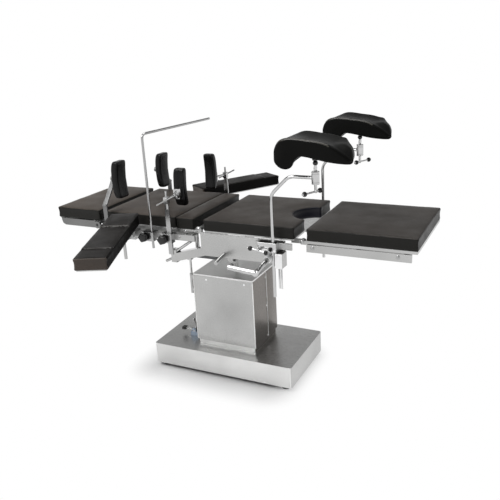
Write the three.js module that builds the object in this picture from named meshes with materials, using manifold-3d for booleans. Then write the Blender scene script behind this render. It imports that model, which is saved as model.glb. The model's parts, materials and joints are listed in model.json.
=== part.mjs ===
// Hydraulic operating table: a divided top on a lifting column, with arm boards, a screen frame,
// shoulder and body supports and two knee crutches.
// Millimetres. X runs from the head end to the leg end, Y from the crank side (front) to the rear, Z up.

import * as THREE from 'three';
import { mergeVertices } from 'three/addons/utils/BufferGeometryUtils.js';
import Module from 'manifold-3d';

const wasm = await Module();
wasm.setup();

// Clearances shared by every piece
const fit = 0.3;
const pinPlay = 0.6;
const slideGap = 4;
const overrun = 6;

// Facets on round shapes
const facets = { thin: 8, ball: 10, bar: 12, round: 16, large: 24 };

// The divided top, seen from above, from the head end to the leg end
const top = { width: 500, mattressTop: 864, mattress: 54 };
const sectionLength = { head: 276, back: 422, bridge: 98, seat: 464, leg: 486 };
const sectionGap = { head: 36, bridge: 4, back: 49, leg: 57 };
const seatStart = -20;

const halfTop = top.width / 2;
const supportTop = top.mattressTop - top.mattress - fit;
const mattressBottom = top.mattressTop - top.mattress;

// How far the side parts stand in from the cushions' sides, the rails out from them, and the
// pivots of the arm boards out from the rails
const sideInset = { panel: 2, channel: 14, hinge: 50, headTray: 3, legTray: 4, jack: 55, pad: 50,
    rearPad: 68, guide: 100 };
const railStandOff = 8;
const armPivotReach = 94;
const seatEnd = seatStart + sectionLength.seat;
const bridgeEnd = seatStart - sectionGap.back;
const bridgeStart = bridgeEnd - sectionLength.bridge;
const backEnd = bridgeStart - sectionGap.bridge;
const backStart = backEnd - sectionLength.back;
const headEnd = backStart - sectionGap.head;
const headStart = headEnd - sectionLength.head;
const legStart = seatEnd + sectionGap.leg;
const legEnd = legStart + sectionLength.leg;

// Hinge axes of the sections, halfway across the gaps between the cushions
const hinge = {
    radius: 12, pin: 6, plate: 12, inner: halfTop - sideInset.hinge, headDrop: 10, backRise: 2.3,
    legDrop: 15, boss: 14, proud: 2,
};
const headHinge = { x: (headEnd + backStart) / 2, z: supportTop - hinge.headDrop };
const backHinge = { x: (bridgeEnd + seatStart) / 2, z: supportTop + hinge.backRise };
const legHinge = { x: (seatEnd + legStart) / 2, z: supportTop - hinge.legDrop };
const hingeArmInner = hinge.inner + hinge.plate + pinPlay;
const hingeArmOuter = hingeArmInner + hinge.plate;

// Cushions
const cushion = { crown: 5, edge: 9, drawIn: 4, bow: 3, corner: 14 };

// Base, column and lift
const base = { length: 790, width: 432, underside: 24, height: 112, wall: 3, corner: 14, ledge: 18 };
const baseTop = base.underside + base.height;
const column = { length: 340, depth: 272, bottom: 162, top: 526, wall: 3 };
const deck = { thickness: 8 };
const deckTop = column.top + fit + deck.thickness;
const skirt = { top: 500, wall: 3 };
const ram = { outer: 55, rod: 30, flange: 78, flangeHeight: 12, top: 430, floor: 60 };

// Tilting carriage between the column and the seat frame
const tiltAxis = 618;
const rollAxis = 664;
const cheek = { inner: 24, thickness: 14, halfWidth: 16, crown: 20 };
const neck = { radius: 9, x: 16, top: 588, cap: 8 };
const carriage = { halfLength: 56, bottom: 600, top: 690, trunnion: 15, trunnionEnd: 46 };
const lowerWall = 92;
const rollShaft = {
    radius: 16, plateStart: 95, plateThickness: 12, plateHalf: 40, plateDrop: 20, tongueTop: 752, tongue: 12,
};

// Tilt jack on the head side of the column
const jackReach = 42;
const jack = {
    x: -(column.length / 2 + jackReach), y: -80, tube: 10, rod: 6, tubeBottom: 400, tubeTop: 508,
    rodBottom: 414, pin: 5,
    slotHalf: 7, slotRun: 24, armHeight: 30, armThickness: 10, forkGap: 2, forkPlate: 6, forkDrop: 26,
    forkWidth: 22,
};

// Side panels, frames and accessory rails
const panel = {
    outer: halfTop - sideInset.panel, thickness: 8, bottom: 685, start: -37, end: 400, slope: 42,
    bossRadius: 16, drop: 10,
};
const panelTop = supportTop - panel.drop;
const channel = { outer: halfTop - sideInset.channel, thickness: 10, depth: 40 };
const plate = { thickness: 8, inset: 4 };
const rail = { height: 30, thickness: 10, inner: halfTop + railStandOff, drop: 23, spacer: 8 };
const railTop = supportTop - rail.drop;
const railOuter = rail.inner + rail.thickness;

// Rail clamps and the things they hold
const clamp = { depth: 32, height: 46, lip: 6, hook: 4, screw: 6, screwDepth: 12, knob: 24, end: 15 };
const clampOuter = railOuter + fit + clamp.depth;
const postY = railOuter + fit + clamp.depth / 2;

const armBoard = {
    width: 140, near: 76, top: 872, cushion: 54, sheet: 5, pivotY: railOuter + armPivotReach, pin: 8,
    pinBottom: 666,
};
const armPlaces = {
    front: { x: -403, angle: -66.2, length: 636 },
    rear: { x: -325, angle: 57.8, length: 515 },
};
const screen = {
    x: -288, radius: 6, bottom: 708, top: 1266, reach: 534, bend: 26, turn: 6.5, knobOffset: 34,
    knobDrop: 18,
};
const shoulder = { kneeZ: 905, padHeight: 186, padWidth: 84, padDepth: 40, sag: 12 };
const shoulderPlaces = {
    front: { x: -556, padX: -549, padY: halfTop - sideInset.pad, padZ: 1024 },
    rear: { x: -541, padX: -547, padY: halfTop - sideInset.rearPad, padZ: 992 },
};
const shoulderBar = { width: 24, thickness: 7, clampHalf: 18 };
const shoulderStud = { radius: 13, back: 12, front: 13 };
const bodySupport = {
    postWidth: 24, postThickness: 8, bottom: 687, top: 915, armZ: 958, padHeight: 186, padWidth: 62,
    padDepth: 36, knobOffset: 26, knobDrop: 20, end: 18, sag: 12,
};
const bodyPlaces = {
    front: { x: -186, padX: -202, reach: 124, padLift: 26 },
    rear: { x: -172, padX: -202, reach: 74, padLift: 42 },
};
const bodySocket = { radius: 11, height: 26, pin: 5, floor: 6 };
const bodyArm = { block: 11, rod: 6, blockTop: 972, knuckle: 14, half: 12, pinTop: 1000 };
const tommyBar = { half: 54, tilt: 27, radius: 4 };
const crutch = {
    radius: 7.5, bottom: 539, bendStart: 1020, bendEnd: 1104, rise: 86, bend: 24, sleeve: 17,
    sleeveHeight: 56, ball: 11, ballZ: 1166, padLength: 325, padHeight: 127, padWidth: 190, padDrop: 12,
    handleOffset: 56, handleDrop: 25, end: 20,
};
const crutchPlaces = {
    front: { x: 358, headX: 564, lift: 0, padShift: 0, barSlide: -20 },
    rear: { x: 391, headX: 584, lift: 13, padShift: -12, barSlide: 20 },
};
const tHandle = { bar: 4, reach: 39, ball: 11, stem: 6 };
const crutchHandle = { standOff: 24, front: -10, sleeveReach: 45, sleeveAngle: 65, sleeveDrop: 30 };

// Drive: gearbox, crank and the box of the back section's jack
const gearbox = { start: 372, end: 407, depth: 56, bottom: 686, height: 68, rod: 4, rodBottom: 580 };
const gearboxRodShares = [[0.22, 0.48], [0.56, 0.52]];
const openSocket = { x: 84, rise: 14, radius: 11, length: 84 };
const crank = {
    x: 333, z: 729, slope: 8.5, collar: 15, collarLength: 62, shaft: 10, arm: 8, length: 178, throw: 124,
    lean: 6, grip: 26,
};
const backJack = {
    y: sideInset.jack - halfTop, width: 38, height: 42, length: 215, tilt: 16, x: -14, z: 700,
};
const jackBracket = { half: 16, up: 40, down: 24, reach: 30 };
const jackRods = { radius: 7, spread: 10, angle: 34, length: 118 };

// Trays under the head and leg cushions
const headTray = {
    inset: 8, sheet: 5, side: 4, depth: 41, sideY: halfTop - sideInset.headTray, cornerCut: 24,
    cornerShare: 0.3, cross: 20, stop: 36,
};
const headDisc = { radius: 19, back: 18, drop: 22, length: 9 };
const legTray = {
    inset: 2, lip: 13, sheet: 5, wall: 3, halfY: halfTop - sideInset.legTray, cross: 20,
    crossShares: [0.06, 0.48, 0.9],
};
const legSideRail = { gap: 4, height: 35, thickness: 12, endInset: 24 };

// Feet and floor of the base, straps of the tilt jack and the carriage's cross arm
const foot = { radius: 24, share: 0.88 };
const baseTray = { height: 12, lift: 2 };
const strap = { height: 22, half: 8, inset: 8 };
const crossDepth = 20;

// Hubs and sheets of the arm boards, their seams, and the hand knobs
const armHub = { radius: 17, height: 26, clampHalf: 24 };
const armSheetInset = 8;
const armSeam = { depth: 5, half: 5, shares: [0.34, 0.82] };
const armEnd = { round: 9, dip: 4 };
const knobDepth = { neck: 8, head: 20 };

// Beams of the back frame and spacers of its rails, as shares of its length
const backShares = { cross: [0.06, 0.5, 0.94], spacer: [0.22, 0.66, 0.93] };

// Vertices closer than this are one vertex
const weld = 1e-4;

const colours = {
    steel: { color: 0xb4b6b6, roughness: 0.38, metalness: 0.85 },
    chrome: { color: 0xd2d4d6, roughness: 0.16, metalness: 1.0 },
    casting: { color: 0x8e9294, roughness: 0.5, metalness: 0.7 },
    vinyl: { color: 0x2b2724, roughness: 0.5, metalness: 0.0 },
    glossPad: { color: 0x0e0e0e, roughness: 0.3, metalness: 0.0 },
    plastic: { color: 0x141414, roughness: 0.35, metalness: 0.0 },
};
const material = {};
for (const [name, values] of Object.entries(colours)) {
    material[name] = new THREE.MeshStandardMaterial(values);
}

// Solids and booleans
function solid(geometry) {
    const bare = geometry.index ? geometry.toNonIndexed() : geometry.clone();
    for (const name of Object.keys(bare.attributes)) {
        if (name !== 'position') {
            bare.deleteAttribute(name);
        }
    }
    const merged = mergeVertices(bare, weld);
    return new wasm.Manifold(new wasm.Mesh({
        numProp: 3,
        vertProperties: new Float32Array(merged.attributes.position.array),
        triVerts: new Uint32Array(merged.index.array),
    }));
}

function fuse(...pieces) {
    return pieces.reduce((whole, piece) => whole.add(piece));
}

function cut(body, ...tools) {
    return tools.reduce((rest, tool) => rest.subtract(tool), body);
}

function geometryOf(body) {
    const mesh = body.getMesh();
    const geometry = new THREE.BufferGeometry();
    geometry.setAttribute('position', new THREE.BufferAttribute(new Float32Array(mesh.vertProperties), 3));
    geometry.setIndex(new THREE.BufferAttribute(new Uint32Array(mesh.triVerts), 1));
    geometry.computeVertexNormals();
    return geometry;
}

function block(x0, x1, y0, y1, z0, z1) {
    const geometry = new THREE.BoxGeometry(Math.abs(x1 - x0), Math.abs(y1 - y0), Math.abs(z1 - z0));
    geometry.translate((x0 + x1) / 2, (y0 + y1) / 2, (z0 + z1) / 2);
    return solid(geometry);
}

// A straight round bar between two points
function bar(from, to, radius, sides = facets.thin) {
    const start = new THREE.Vector3(...from);
    const along = new THREE.Vector3(...to).sub(start);
    const geometry = new THREE.CylinderGeometry(radius, radius, along.length(), sides);
    geometry.translate(0, along.length() / 2, 0);
    const turn = new THREE.Quaternion().setFromUnitVectors(new THREE.Vector3(0, 1, 0), along.normalize());
    geometry.applyQuaternion(turn);
    geometry.translate(...from);
    return solid(geometry);
}

// A flat bar between two points, its width across X where it stands upright
function flatBar(from, to, width, thickness) {
    const start = new THREE.Vector3(...from);
    const along = new THREE.Vector3(...to).sub(start);
    const geometry = new THREE.BoxGeometry(width, thickness, along.length());
    geometry.translate(0, 0, along.length() / 2);
    const turn = new THREE.Quaternion().setFromUnitVectors(new THREE.Vector3(0, 0, 1), along.normalize());
    geometry.applyQuaternion(turn);
    geometry.translate(...from);
    return solid(geometry);
}

function ball(centre, radius, sides = facets.ball) {
    const geometry = new THREE.SphereGeometry(radius, sides, sides / 2);
    geometry.rotateX(Math.PI / 2);
    geometry.translate(...centre);
    return solid(geometry);
}

// A plate whose outline lies in the X Z plane, from y0 to y1
function sidePlate(outline, y0, y1) {
    const shape = new THREE.Shape(outline.map(([x, z]) => new THREE.Vector2(x, z)));
    const geometry = new THREE.ExtrudeGeometry(shape, { depth: Math.abs(y1 - y0), bevelEnabled: false });
    geometry.rotateX(Math.PI / 2);
    geometry.translate(0, Math.max(y0, y1), 0);
    return solid(geometry);
}

function roundedRectangle(halfX, halfY, corner) {
    const shape = new THREE.Shape();
    shape.moveTo(corner - halfX, -halfY);
    shape.lineTo(halfX - corner, -halfY);
    shape.absarc(halfX - corner, corner - halfY, corner, -Math.PI / 2, 0);
    shape.absarc(halfX - corner, halfY - corner, corner, 0, Math.PI / 2);
    shape.absarc(corner - halfX, halfY - corner, corner, Math.PI / 2, Math.PI);
    shape.absarc(corner - halfX, corner - halfY, corner, Math.PI, 1.5 * Math.PI);
    return shape;
}

// An upright prism with round corners
function roundedPrism(halfX, halfY, corner, z0, z1) {
    const geometry = new THREE.ExtrudeGeometry(roundedRectangle(halfX, halfY, corner), {
        depth: z1 - z0, bevelEnabled: false, curveSegments: 4,
    });
    geometry.translate(0, 0, z0);
    return solid(geometry);
}

// A rod along straight runs joined by round bends
class BentPath extends THREE.Curve {
    constructor(corners, bend) {
        super();
        const points = corners.map((corner) => new THREE.Vector3(...corner));
        this.knots = [points[0]];
        for (let i = 1; i < points.length - 1; i += 1) {
            const toLast = points[i - 1].clone().sub(points[i]).normalize().multiplyScalar(bend);
            const toNext = points[i + 1].clone().sub(points[i]).normalize().multiplyScalar(bend);
            const curve = new THREE.QuadraticBezierCurve3(
                points[i].clone().add(toLast), points[i], points[i].clone().add(toNext));
            this.knots.push(...curve.getPoints(4));
        }
        this.knots.push(points[points.length - 1]);
    }

    getPoint(t, target = new THREE.Vector3()) {
        const place = t * (this.knots.length - 1);
        const index = Math.min(Math.floor(place), this.knots.length - 2);
        return target.lerpVectors(this.knots[index], this.knots[index + 1], place - index);
    }

    getPointAt(u, target) {
        return this.getPoint(u, target);
    }

    getTangentAt(u, target = new THREE.Vector3()) {
        const index = Math.round(u * (this.knots.length - 1));
        const before = this.knots[Math.max(index - 1, 0)];
        const after = this.knots[Math.min(index + 1, this.knots.length - 1)];
        return target.copy(after).sub(before).normalize();
    }
}

function bentRod(corners, bend, radius, sides = facets.thin) {
    const path = new BentPath(corners, bend);
    const section = new THREE.Shape();
    section.absarc(0, 0, radius, 0, 2 * Math.PI);
    const geometry = new THREE.ExtrudeGeometry(section, {
        extrudePath: path, steps: path.knots.length - 1, curveSegments: sides / 2, bevelEnabled: false,
    });
    return solid(geometry);
}

// A closed body through layers of matching points, with flat ends
function layered(layers) {
    const count = layers[0].length;
    const positions = [];
    const triangles = [];
    for (const layer of layers) {
        for (const point of layer) {
            positions.push(point.x, point.y, point.z);
        }
    }
    for (let i = 0; i < layers.length - 1; i += 1) {
        for (let j = 0; j < count; j += 1) {
            const a = i * count + j;
            const b = i * count + (j + 1) % count;
            triangles.push(a, b, b + count, a, b + count, a + count);
        }
    }
    for (const [layer, first, flip] of [[layers[0], 0, true],
        [layers.at(-1), (layers.length - 1) * count, false]]) {
        const origin = layer[0];
        const across = layer[Math.floor(count / 4)].clone().sub(origin).normalize();
        const other = layer[Math.floor(count / 2)].clone().sub(origin);
        const up = across.clone().cross(other).normalize();
        const side = up.clone().cross(across);
        const flat = layer.map((p) => {
            const d = p.clone().sub(origin);
            return new THREE.Vector2(d.dot(across), d.dot(side));
        });
        const clockwise = THREE.ShapeUtils.isClockWise(flat);
        for (const [a, b, c] of THREE.ShapeUtils.triangulateShape(flat, [])) {
            const order = flip !== clockwise ? [a, c, b] : [a, b, c];
            triangles.push(...order.map((k) => first + k));
        }
    }
    const geometry = new THREE.BufferGeometry();
    geometry.setAttribute('position', new THREE.Float32BufferAttribute(positions, 3));
    geometry.setIndex(triangles);
    const body = solid(geometry);
    return body.volume() > 0 ? body : solid(flipped(geometry));
}

function flipped(geometry) {
    const index = Array.from(geometry.index.array);
    for (let i = 0; i < index.length; i += 3) {
        [index[i], index[i + 1]] = [index[i + 1], index[i]];
    }
    geometry.setIndex(index);
    return geometry;
}

// Points round a rectangle whose sides bow inwards between round corners
function cushionOutline(halfX, halfY, corner, bow) {
    const points = [];
    const sides = 4;
    const steps = 2;
    for (let side = 0; side < sides; side += 1) {
        const turn = side * Math.PI / 2;
        const along = side % 2 === 0 ? halfY : halfX;
        const out = side % 2 === 0 ? halfX : halfY;
        for (let i = -steps; i <= steps; i += 1) {
            const share = i / steps;
            const offset = share * (along - corner);
            const pull = bow * (1 - share * share);
            points.push(new THREE.Vector2(out - pull, offset).rotateAround(new THREE.Vector2(), turn));
        }
        const mid = new THREE.Vector2(out - corner, along - corner);
        mid.add(new THREE.Vector2(corner, corner).multiplyScalar(Math.SQRT1_2));
        points.push(mid.rotateAround(new THREE.Vector2(), turn));
    }
    return points;
}

// A crowned cushion with drawn-in sides, centred on X and Y, standing on z = 0
function crownedCushion(length, width, height, form = cushion) {
    const layers = [];
    const layer = (inset, z, share = 1) => {
        const outline = cushionOutline(length / 2 - inset, width / 2 - inset, form.corner, form.bow);
        layers.push(outline.map((p) => new THREE.Vector3(p.x * share, p.y * share, z)));
    };
    layer(form.edge / 2, 0);
    layer(0, form.edge);
    layer(form.drawIn, height / 2);
    layer(0, height - form.edge);
    layer(form.edge / 3, height - form.edge / 3);
    layer(form.edge, height);
    for (const share of [0.75, 0.35]) {
        layer(form.edge, height + form.crown * (1 - share * share), share);
    }
    return layered(layers);
}

// Section of a long pad: a rectangle with round corners, in the plane across its run
function padSection(halfWidth, halfDepth, round) {
    const points = [];
    const steps = 3;
    for (const [sx, sy, start] of [[1, 1, 0], [-1, 1, 1], [-1, -1, 2], [1, -1, 3]]) {
        for (let i = 0; i <= steps; i += 1) {
            const angle = (start + i / steps) * Math.PI / 2;
            points.push([
                sx * (halfWidth - round) + round * Math.cos(angle),
                sy * (halfDepth - round) + round * Math.sin(angle),
            ]);
        }
    }
    return points;
}

// A pad that runs up Z, its front bowed, with full round ends
function bentPad(width, depth, height, sag) {
    const stationShares = [-0.5, -0.47, -0.38, -0.2, 0, 0.2, 0.38, 0.47, 0.5];
    const endShares = [0.7, 0.9, 1, 1, 1, 1, 1, 0.9, 0.7];
    const round = depth * 0.32;
    const layers = stationShares.map((share, i) => {
        const scale = endShares[i];
        return padSection(width / 2 * scale, depth / 2 * scale, round * scale)
            .map(([a, b]) => new THREE.Vector3(b + sag * (4 * share * share - 0.5), a, share * height));
    });
    return layered(layers);
}

const parts = new THREE.Group();

function add(name, body, finish, parent = parts) {
    const mesh = new THREE.Mesh(geometryOf(body), material[finish]);
    mesh.name = name;
    parent.add(mesh);
    return mesh;
}

function placed(x, y, z, turnZ = 0, parent = parts) {
    const group = new THREE.Group();
    group.position.set(x, y, z);
    group.rotation.z = turnZ;
    parent.add(group);
    return group;
}

const sidesOfTable = [{ name: 'front', s: -1 }, { name: 'rear', s: 1 }];

// A block mirrored to both sides of the table, from |y| = near to |y| = far
function bothSides(x0, x1, near, far, z0, z1) {
    return sidesOfTable.map(({ s }) => block(x0, x1, s * near, s * far, z0, z1));
}

function pinThrough(x, z, s, near, far, radius) {
    return bar([x, s * near, z], [x, s * far, z], radius, facets.round);
}

// Base with four feet, its cover, the pedals and the lifting ram
function makeBase() {
    const halfX = base.length / 2;
    const halfY = base.width / 2;
    const innerX = halfX - base.wall - fit;
    const innerY = halfY - base.wall - fit;
    const trayBottom = base.underside + baseTray.lift;
    let plateBody = roundedPrism(innerX, innerY, base.corner - base.wall, trayBottom,
        trayBottom + baseTray.height);
    for (const sx of [-1, 1]) {
        for (const sy of [-1, 1]) {
            const x = sx * halfX * foot.share;
            const y = sy * (halfY - halfX * (1 - foot.share));
            plateBody = fuse(plateBody, bar([x, y, 0], [x, y, trayBottom + baseTray.lift], foot.radius,
                facets.round));
        }
    }
    add('base_plate', plateBody, 'casting');

    const opening = { x: column.length / 2 - base.ledge, y: column.depth / 2 - base.ledge };
    let cover = cut(
        roundedPrism(halfX, halfY, base.corner, base.underside, baseTop),
        roundedPrism(halfX - base.wall, halfY - base.wall, base.corner - base.wall,
            base.underside - overrun, baseTop - base.wall),
        block(-opening.x, opening.x, -opening.y, opening.y, baseTop - base.wall - overrun,
            baseTop + overrun));
    for (const y of [pedal.y - pedal.lugSpan, pedal.y + pedal.lugSpan]) {
        const lug = sidePlate([
            [pedal.x - pedal.lugHalf, baseTop - base.wall], [pedal.x + pedal.lugHalf, baseTop - base.wall],
            [pedal.x + pedal.lugTop, pedal.z + pedal.lugTop],
            [pedal.x - pedal.lugTop, pedal.z + pedal.lugTop],
        ], y - pedal.lugThickness / 2, y + pedal.lugThickness / 2);
        cover = fuse(cover, cut(lug, bar([pedal.x, y - overrun, pedal.z], [pedal.x, y + overrun, pedal.z],
            pedal.pin + pinPlay, facets.bar)));
    }
    add('base_cover', cover, 'steel');

    const skirtX = column.length / 2 - column.wall - slideGap;
    const skirtY = column.depth / 2 - column.wall - slideGap;
    add('column_skirt', cut(
        block(-skirtX, skirtX, -skirtY, skirtY, baseTop + fit, skirt.top),
        block(skirt.wall - skirtX, skirtX - skirt.wall, skirt.wall - skirtY, skirtY - skirt.wall,
            baseTop - overrun, skirt.top + overrun)), 'steel');

    const seat = trayBottom + baseTray.height + fit;
    const profile = [
        [0, seat], [ram.flange, seat], [ram.flange, seat + ram.flangeHeight],
        [ram.outer, seat + ram.flangeHeight],
        [ram.outer, ram.top], [ram.rod + pinPlay, ram.top], [ram.rod + pinPlay, ram.floor], [0, ram.floor],
    ].map(([r, z]) => new THREE.Vector2(r, z));
    const cylinder = new THREE.LatheGeometry(profile, facets.large);
    cylinder.rotateX(Math.PI / 2);
    add('hydraulic_cylinder', upright(cylinder), 'casting');
}

// A lathe profile drawn as radius and height, turned so that the height runs up Z
function upright(geometry) {
    const body = solid(geometry);
    return body.volume() > 0 ? body : solid(flipped(mergeVertices(geometry)));
}

// How far the pedals' pivot stands out from the column
const pedalReach = 64;
const pedal = {
    x: -(column.length / 2 + pedalReach), y: -42, z: 168, lugSpan: 26, lugThickness: 6, lugHalf: 20,
    lugTop: 9,
    pin: 5, hub: 9,
    pumpReach: 68, padLength: 22, padWidth: 26, padThickness: 14, leverRise: 46, leverLean: 20, knob: 9,
};

function makePedals() {
    const near = pedal.y - pedal.lugSpan - pedal.lugThickness;
    const hubStart = pedal.y - pedal.lugSpan + pedal.lugThickness / 2 + fit;
    const hubMid = pedal.y;
    const hubEnd = pedal.y + pedal.lugSpan - pedal.lugThickness / 2 - fit;
    const far = pedal.y + pedal.lugSpan + pedal.lugThickness;
    const padX = pedal.x - pedal.pumpReach;
    add('pump_pedal', fuse(
        bar([pedal.x, hubStart, pedal.z], [pedal.x, hubMid - fit / 2, pedal.z], pedal.hub, facets.round),
        bar([pedal.x, near, pedal.z], [pedal.x, hubStart + fit, pedal.z], pedal.pin, facets.bar),
        block(padX, pedal.x, (hubStart + hubMid) / 2 - pedal.pin, (hubStart + hubMid) / 2 + pedal.pin,
            pedal.z - pedal.pin, pedal.z + pedal.pin),
        block(padX - pedal.padLength / 2, padX + pedal.padLength / 2,
            (hubStart + hubMid) / 2 - pedal.padWidth / 2, (hubStart + hubMid) / 2 + pedal.padWidth / 2,
            pedal.z - pedal.padThickness / 2, pedal.z + pedal.padThickness / 2)), 'plastic');
    const leverY = (hubMid + hubEnd) / 2;
    const tip = [pedal.x - pedal.leverLean, leverY, pedal.z + pedal.leverRise];
    add('release_pedal', fuse(
        bar([pedal.x, hubMid + fit / 2, pedal.z], [pedal.x, hubEnd, pedal.z], pedal.hub, facets.round),
        bar([pedal.x, hubEnd - fit, pedal.z], [pedal.x, far, pedal.z], pedal.pin, facets.bar),
        bar([pedal.x, leverY, pedal.z], tip, pedal.pin),
        ball(tip, pedal.knob)), 'chrome');
}

// Lifting column: cover, head with yoke, ram rod and the tube of the tilt jack
function makeColumn() {
    const halfX = column.length / 2;
    const halfY = column.depth / 2;
    add('column_cover', cut(
        block(-halfX, halfX, -halfY, halfY, column.bottom, column.top),
        block(column.wall - halfX, halfX - column.wall, column.wall - halfY, halfY - column.wall,
            column.bottom - overrun, column.top + overrun)), 'steel');

    const fork = cheek.inner + cheek.thickness;
    let head = fuse(block(-halfX, halfX, -halfY, halfY, column.top + fit, deckTop),
        bar([neck.x, 0, deckTop - deck.thickness / 2], [neck.x, 0, neck.top - fit], neck.radius,
            facets.round),
        block(-cheek.halfWidth, neck.x + neck.radius, -fork, fork, neck.top - neck.cap, neck.top));
    for (const { s } of sidesOfTable) {
        const inner = s * cheek.inner;
        const outer = s * (cheek.inner + cheek.thickness);
        const upright = fuse(
            block(-cheek.halfWidth, cheek.halfWidth, inner, outer, neck.top - neck.cap, tiltAxis),
            pinThrough(0, tiltAxis, s, cheek.inner, cheek.inner + cheek.thickness, cheek.crown + pinPlay));
        head = fuse(head, cut(upright,
            pinThrough(0, tiltAxis, s, cheek.inner - overrun, cheek.inner + cheek.thickness + overrun,
                carriage.trunnion + pinPlay)));
    }
    add('column_head', head, 'casting');

    const rodBottom = ram.floor + ram.outer + fit;
    add('piston_rod', bar([0, 0, rodBottom], [0, 0, column.top], ram.rod, facets.large), 'chrome');

    let tube = cut(
        bar([jack.x, jack.y, jack.tubeBottom], [jack.x, jack.y, jack.tubeTop], jack.tube, facets.round),
        bar([jack.x, jack.y, jack.tubeBottom - overrun], [jack.x, jack.y, jack.tubeTop + overrun],
            jack.rod + pinPlay, facets.round));
    for (const z of [jack.tubeBottom + strap.inset, jack.tubeTop - strap.inset - strap.height]) {
        const lug = cut(
            block(jack.x, -halfX - fit, jack.y - strap.half, jack.y + strap.half, z, z + strap.height),
            bar([jack.x, jack.y, z - overrun], [jack.x, jack.y, z + strap.height + overrun],
                (jack.tube + jack.rod) / 2 + pinPlay, facets.round));
        tube = fuse(tube, lug);
    }
    add('tilt_jack_tube', tube, 'casting');
}

// Carriage that tilts lengthways in the yoke and carries the roll shaft
function makeCarriage() {
    const side = cheek.inner - 3 * pinPlay;
    const armY0 = jack.y - jack.armThickness / 2;
    const armY1 = jack.y + jack.armThickness / 2;
    const crossBottom = tiltAxis - jack.armHeight / 2;
    let body = fuse(
        block(-carriage.halfLength, carriage.halfLength, -side, side, carriage.bottom, carriage.top),
        bar([0, -carriage.trunnionEnd, tiltAxis], [0, carriage.trunnionEnd, tiltAxis], carriage.trunnion,
            facets.round),
        block(-carriage.halfLength - crossDepth, -carriage.halfLength + fit, armY0, side,
            crossBottom, crossBottom + jack.armHeight),
        block(jack.x - jack.slotRun - jack.slotHalf, -carriage.halfLength, armY0, armY1,
            crossBottom, crossBottom + jack.armHeight));
    body = cut(body,
        bar([-carriage.halfLength - overrun, 0, rollAxis], [carriage.halfLength + overrun, 0, rollAxis],
            rollShaft.radius + pinPlay, facets.large),
        block(jack.x - jack.slotRun, jack.x + jack.slotHalf, armY0 - overrun, armY1 + overrun,
            tiltAxis - jack.slotHalf, tiltAxis + jack.slotHalf));
    add('tilt_carriage', body, 'casting');

    const forkInner = jack.armThickness / 2 + jack.forkGap;
    const forkOuter = forkInner + jack.forkPlate;
    const forkBottom = tiltAxis - jack.forkDrop;
    const half = jack.forkWidth / 2;
    const fork = [-1, 1].map((s) => block(jack.x - half, jack.x + half,
        jack.y + s * forkInner, jack.y + s * forkOuter, forkBottom, tiltAxis + half));
    add('tilt_jack_rod', fuse(
        bar([jack.x, jack.y, jack.rodBottom], [jack.x, jack.y, forkBottom], jack.rod),
        block(jack.x - half, jack.x + half, jack.y - forkOuter, jack.y + forkOuter,
            forkBottom - jack.forkPlate, forkBottom + fit),
        bar([jack.x, jack.y - forkOuter, tiltAxis], [jack.x, jack.y + forkOuter, tiltAxis], jack.pin),
        ...fork), 'chrome');
}

// An accessory rail on round spacers, outside |y| = from
function railOn(s, from, x0, x1, zTop, spacerShares) {
    const pieces = [block(x0, x1, s * rail.inner, s * railOuter, zTop - rail.height, zTop)];
    for (const share of spacerShares) {
        const x = x0 + (x1 - x0) * share;
        pieces.push(bar([x, s * (from - fit), zTop - rail.height / 2], [x, s * (rail.inner + fit),
            zTop - rail.height / 2], rail.spacer));
    }
    return pieces;
}

// Seat frame with its side panels
const seatRail = { start: 262, drop: 5, spacerShares: [0.12, 0.68] };
const seatRailTop = panelTop - seatRail.drop;
const perineal = { depth: 98, half: 106 };

function perinealCut(x, depth, half, z0, z1) {
    const shape = new THREE.Shape();
    shape.moveTo(x + overrun, -half);
    shape.lineTo(x + overrun, half);
    shape.lineTo(x, half);
    shape.absellipse(x, 0, depth, half, Math.PI / 2, 1.5 * Math.PI, false);
    const geometry = new THREE.ExtrudeGeometry(shape, {
        depth: z1 - z0, bevelEnabled: false, curveSegments: facets.bar,
    });
    geometry.translate(0, 0, z0);
    return solid(geometry);
}

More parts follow.
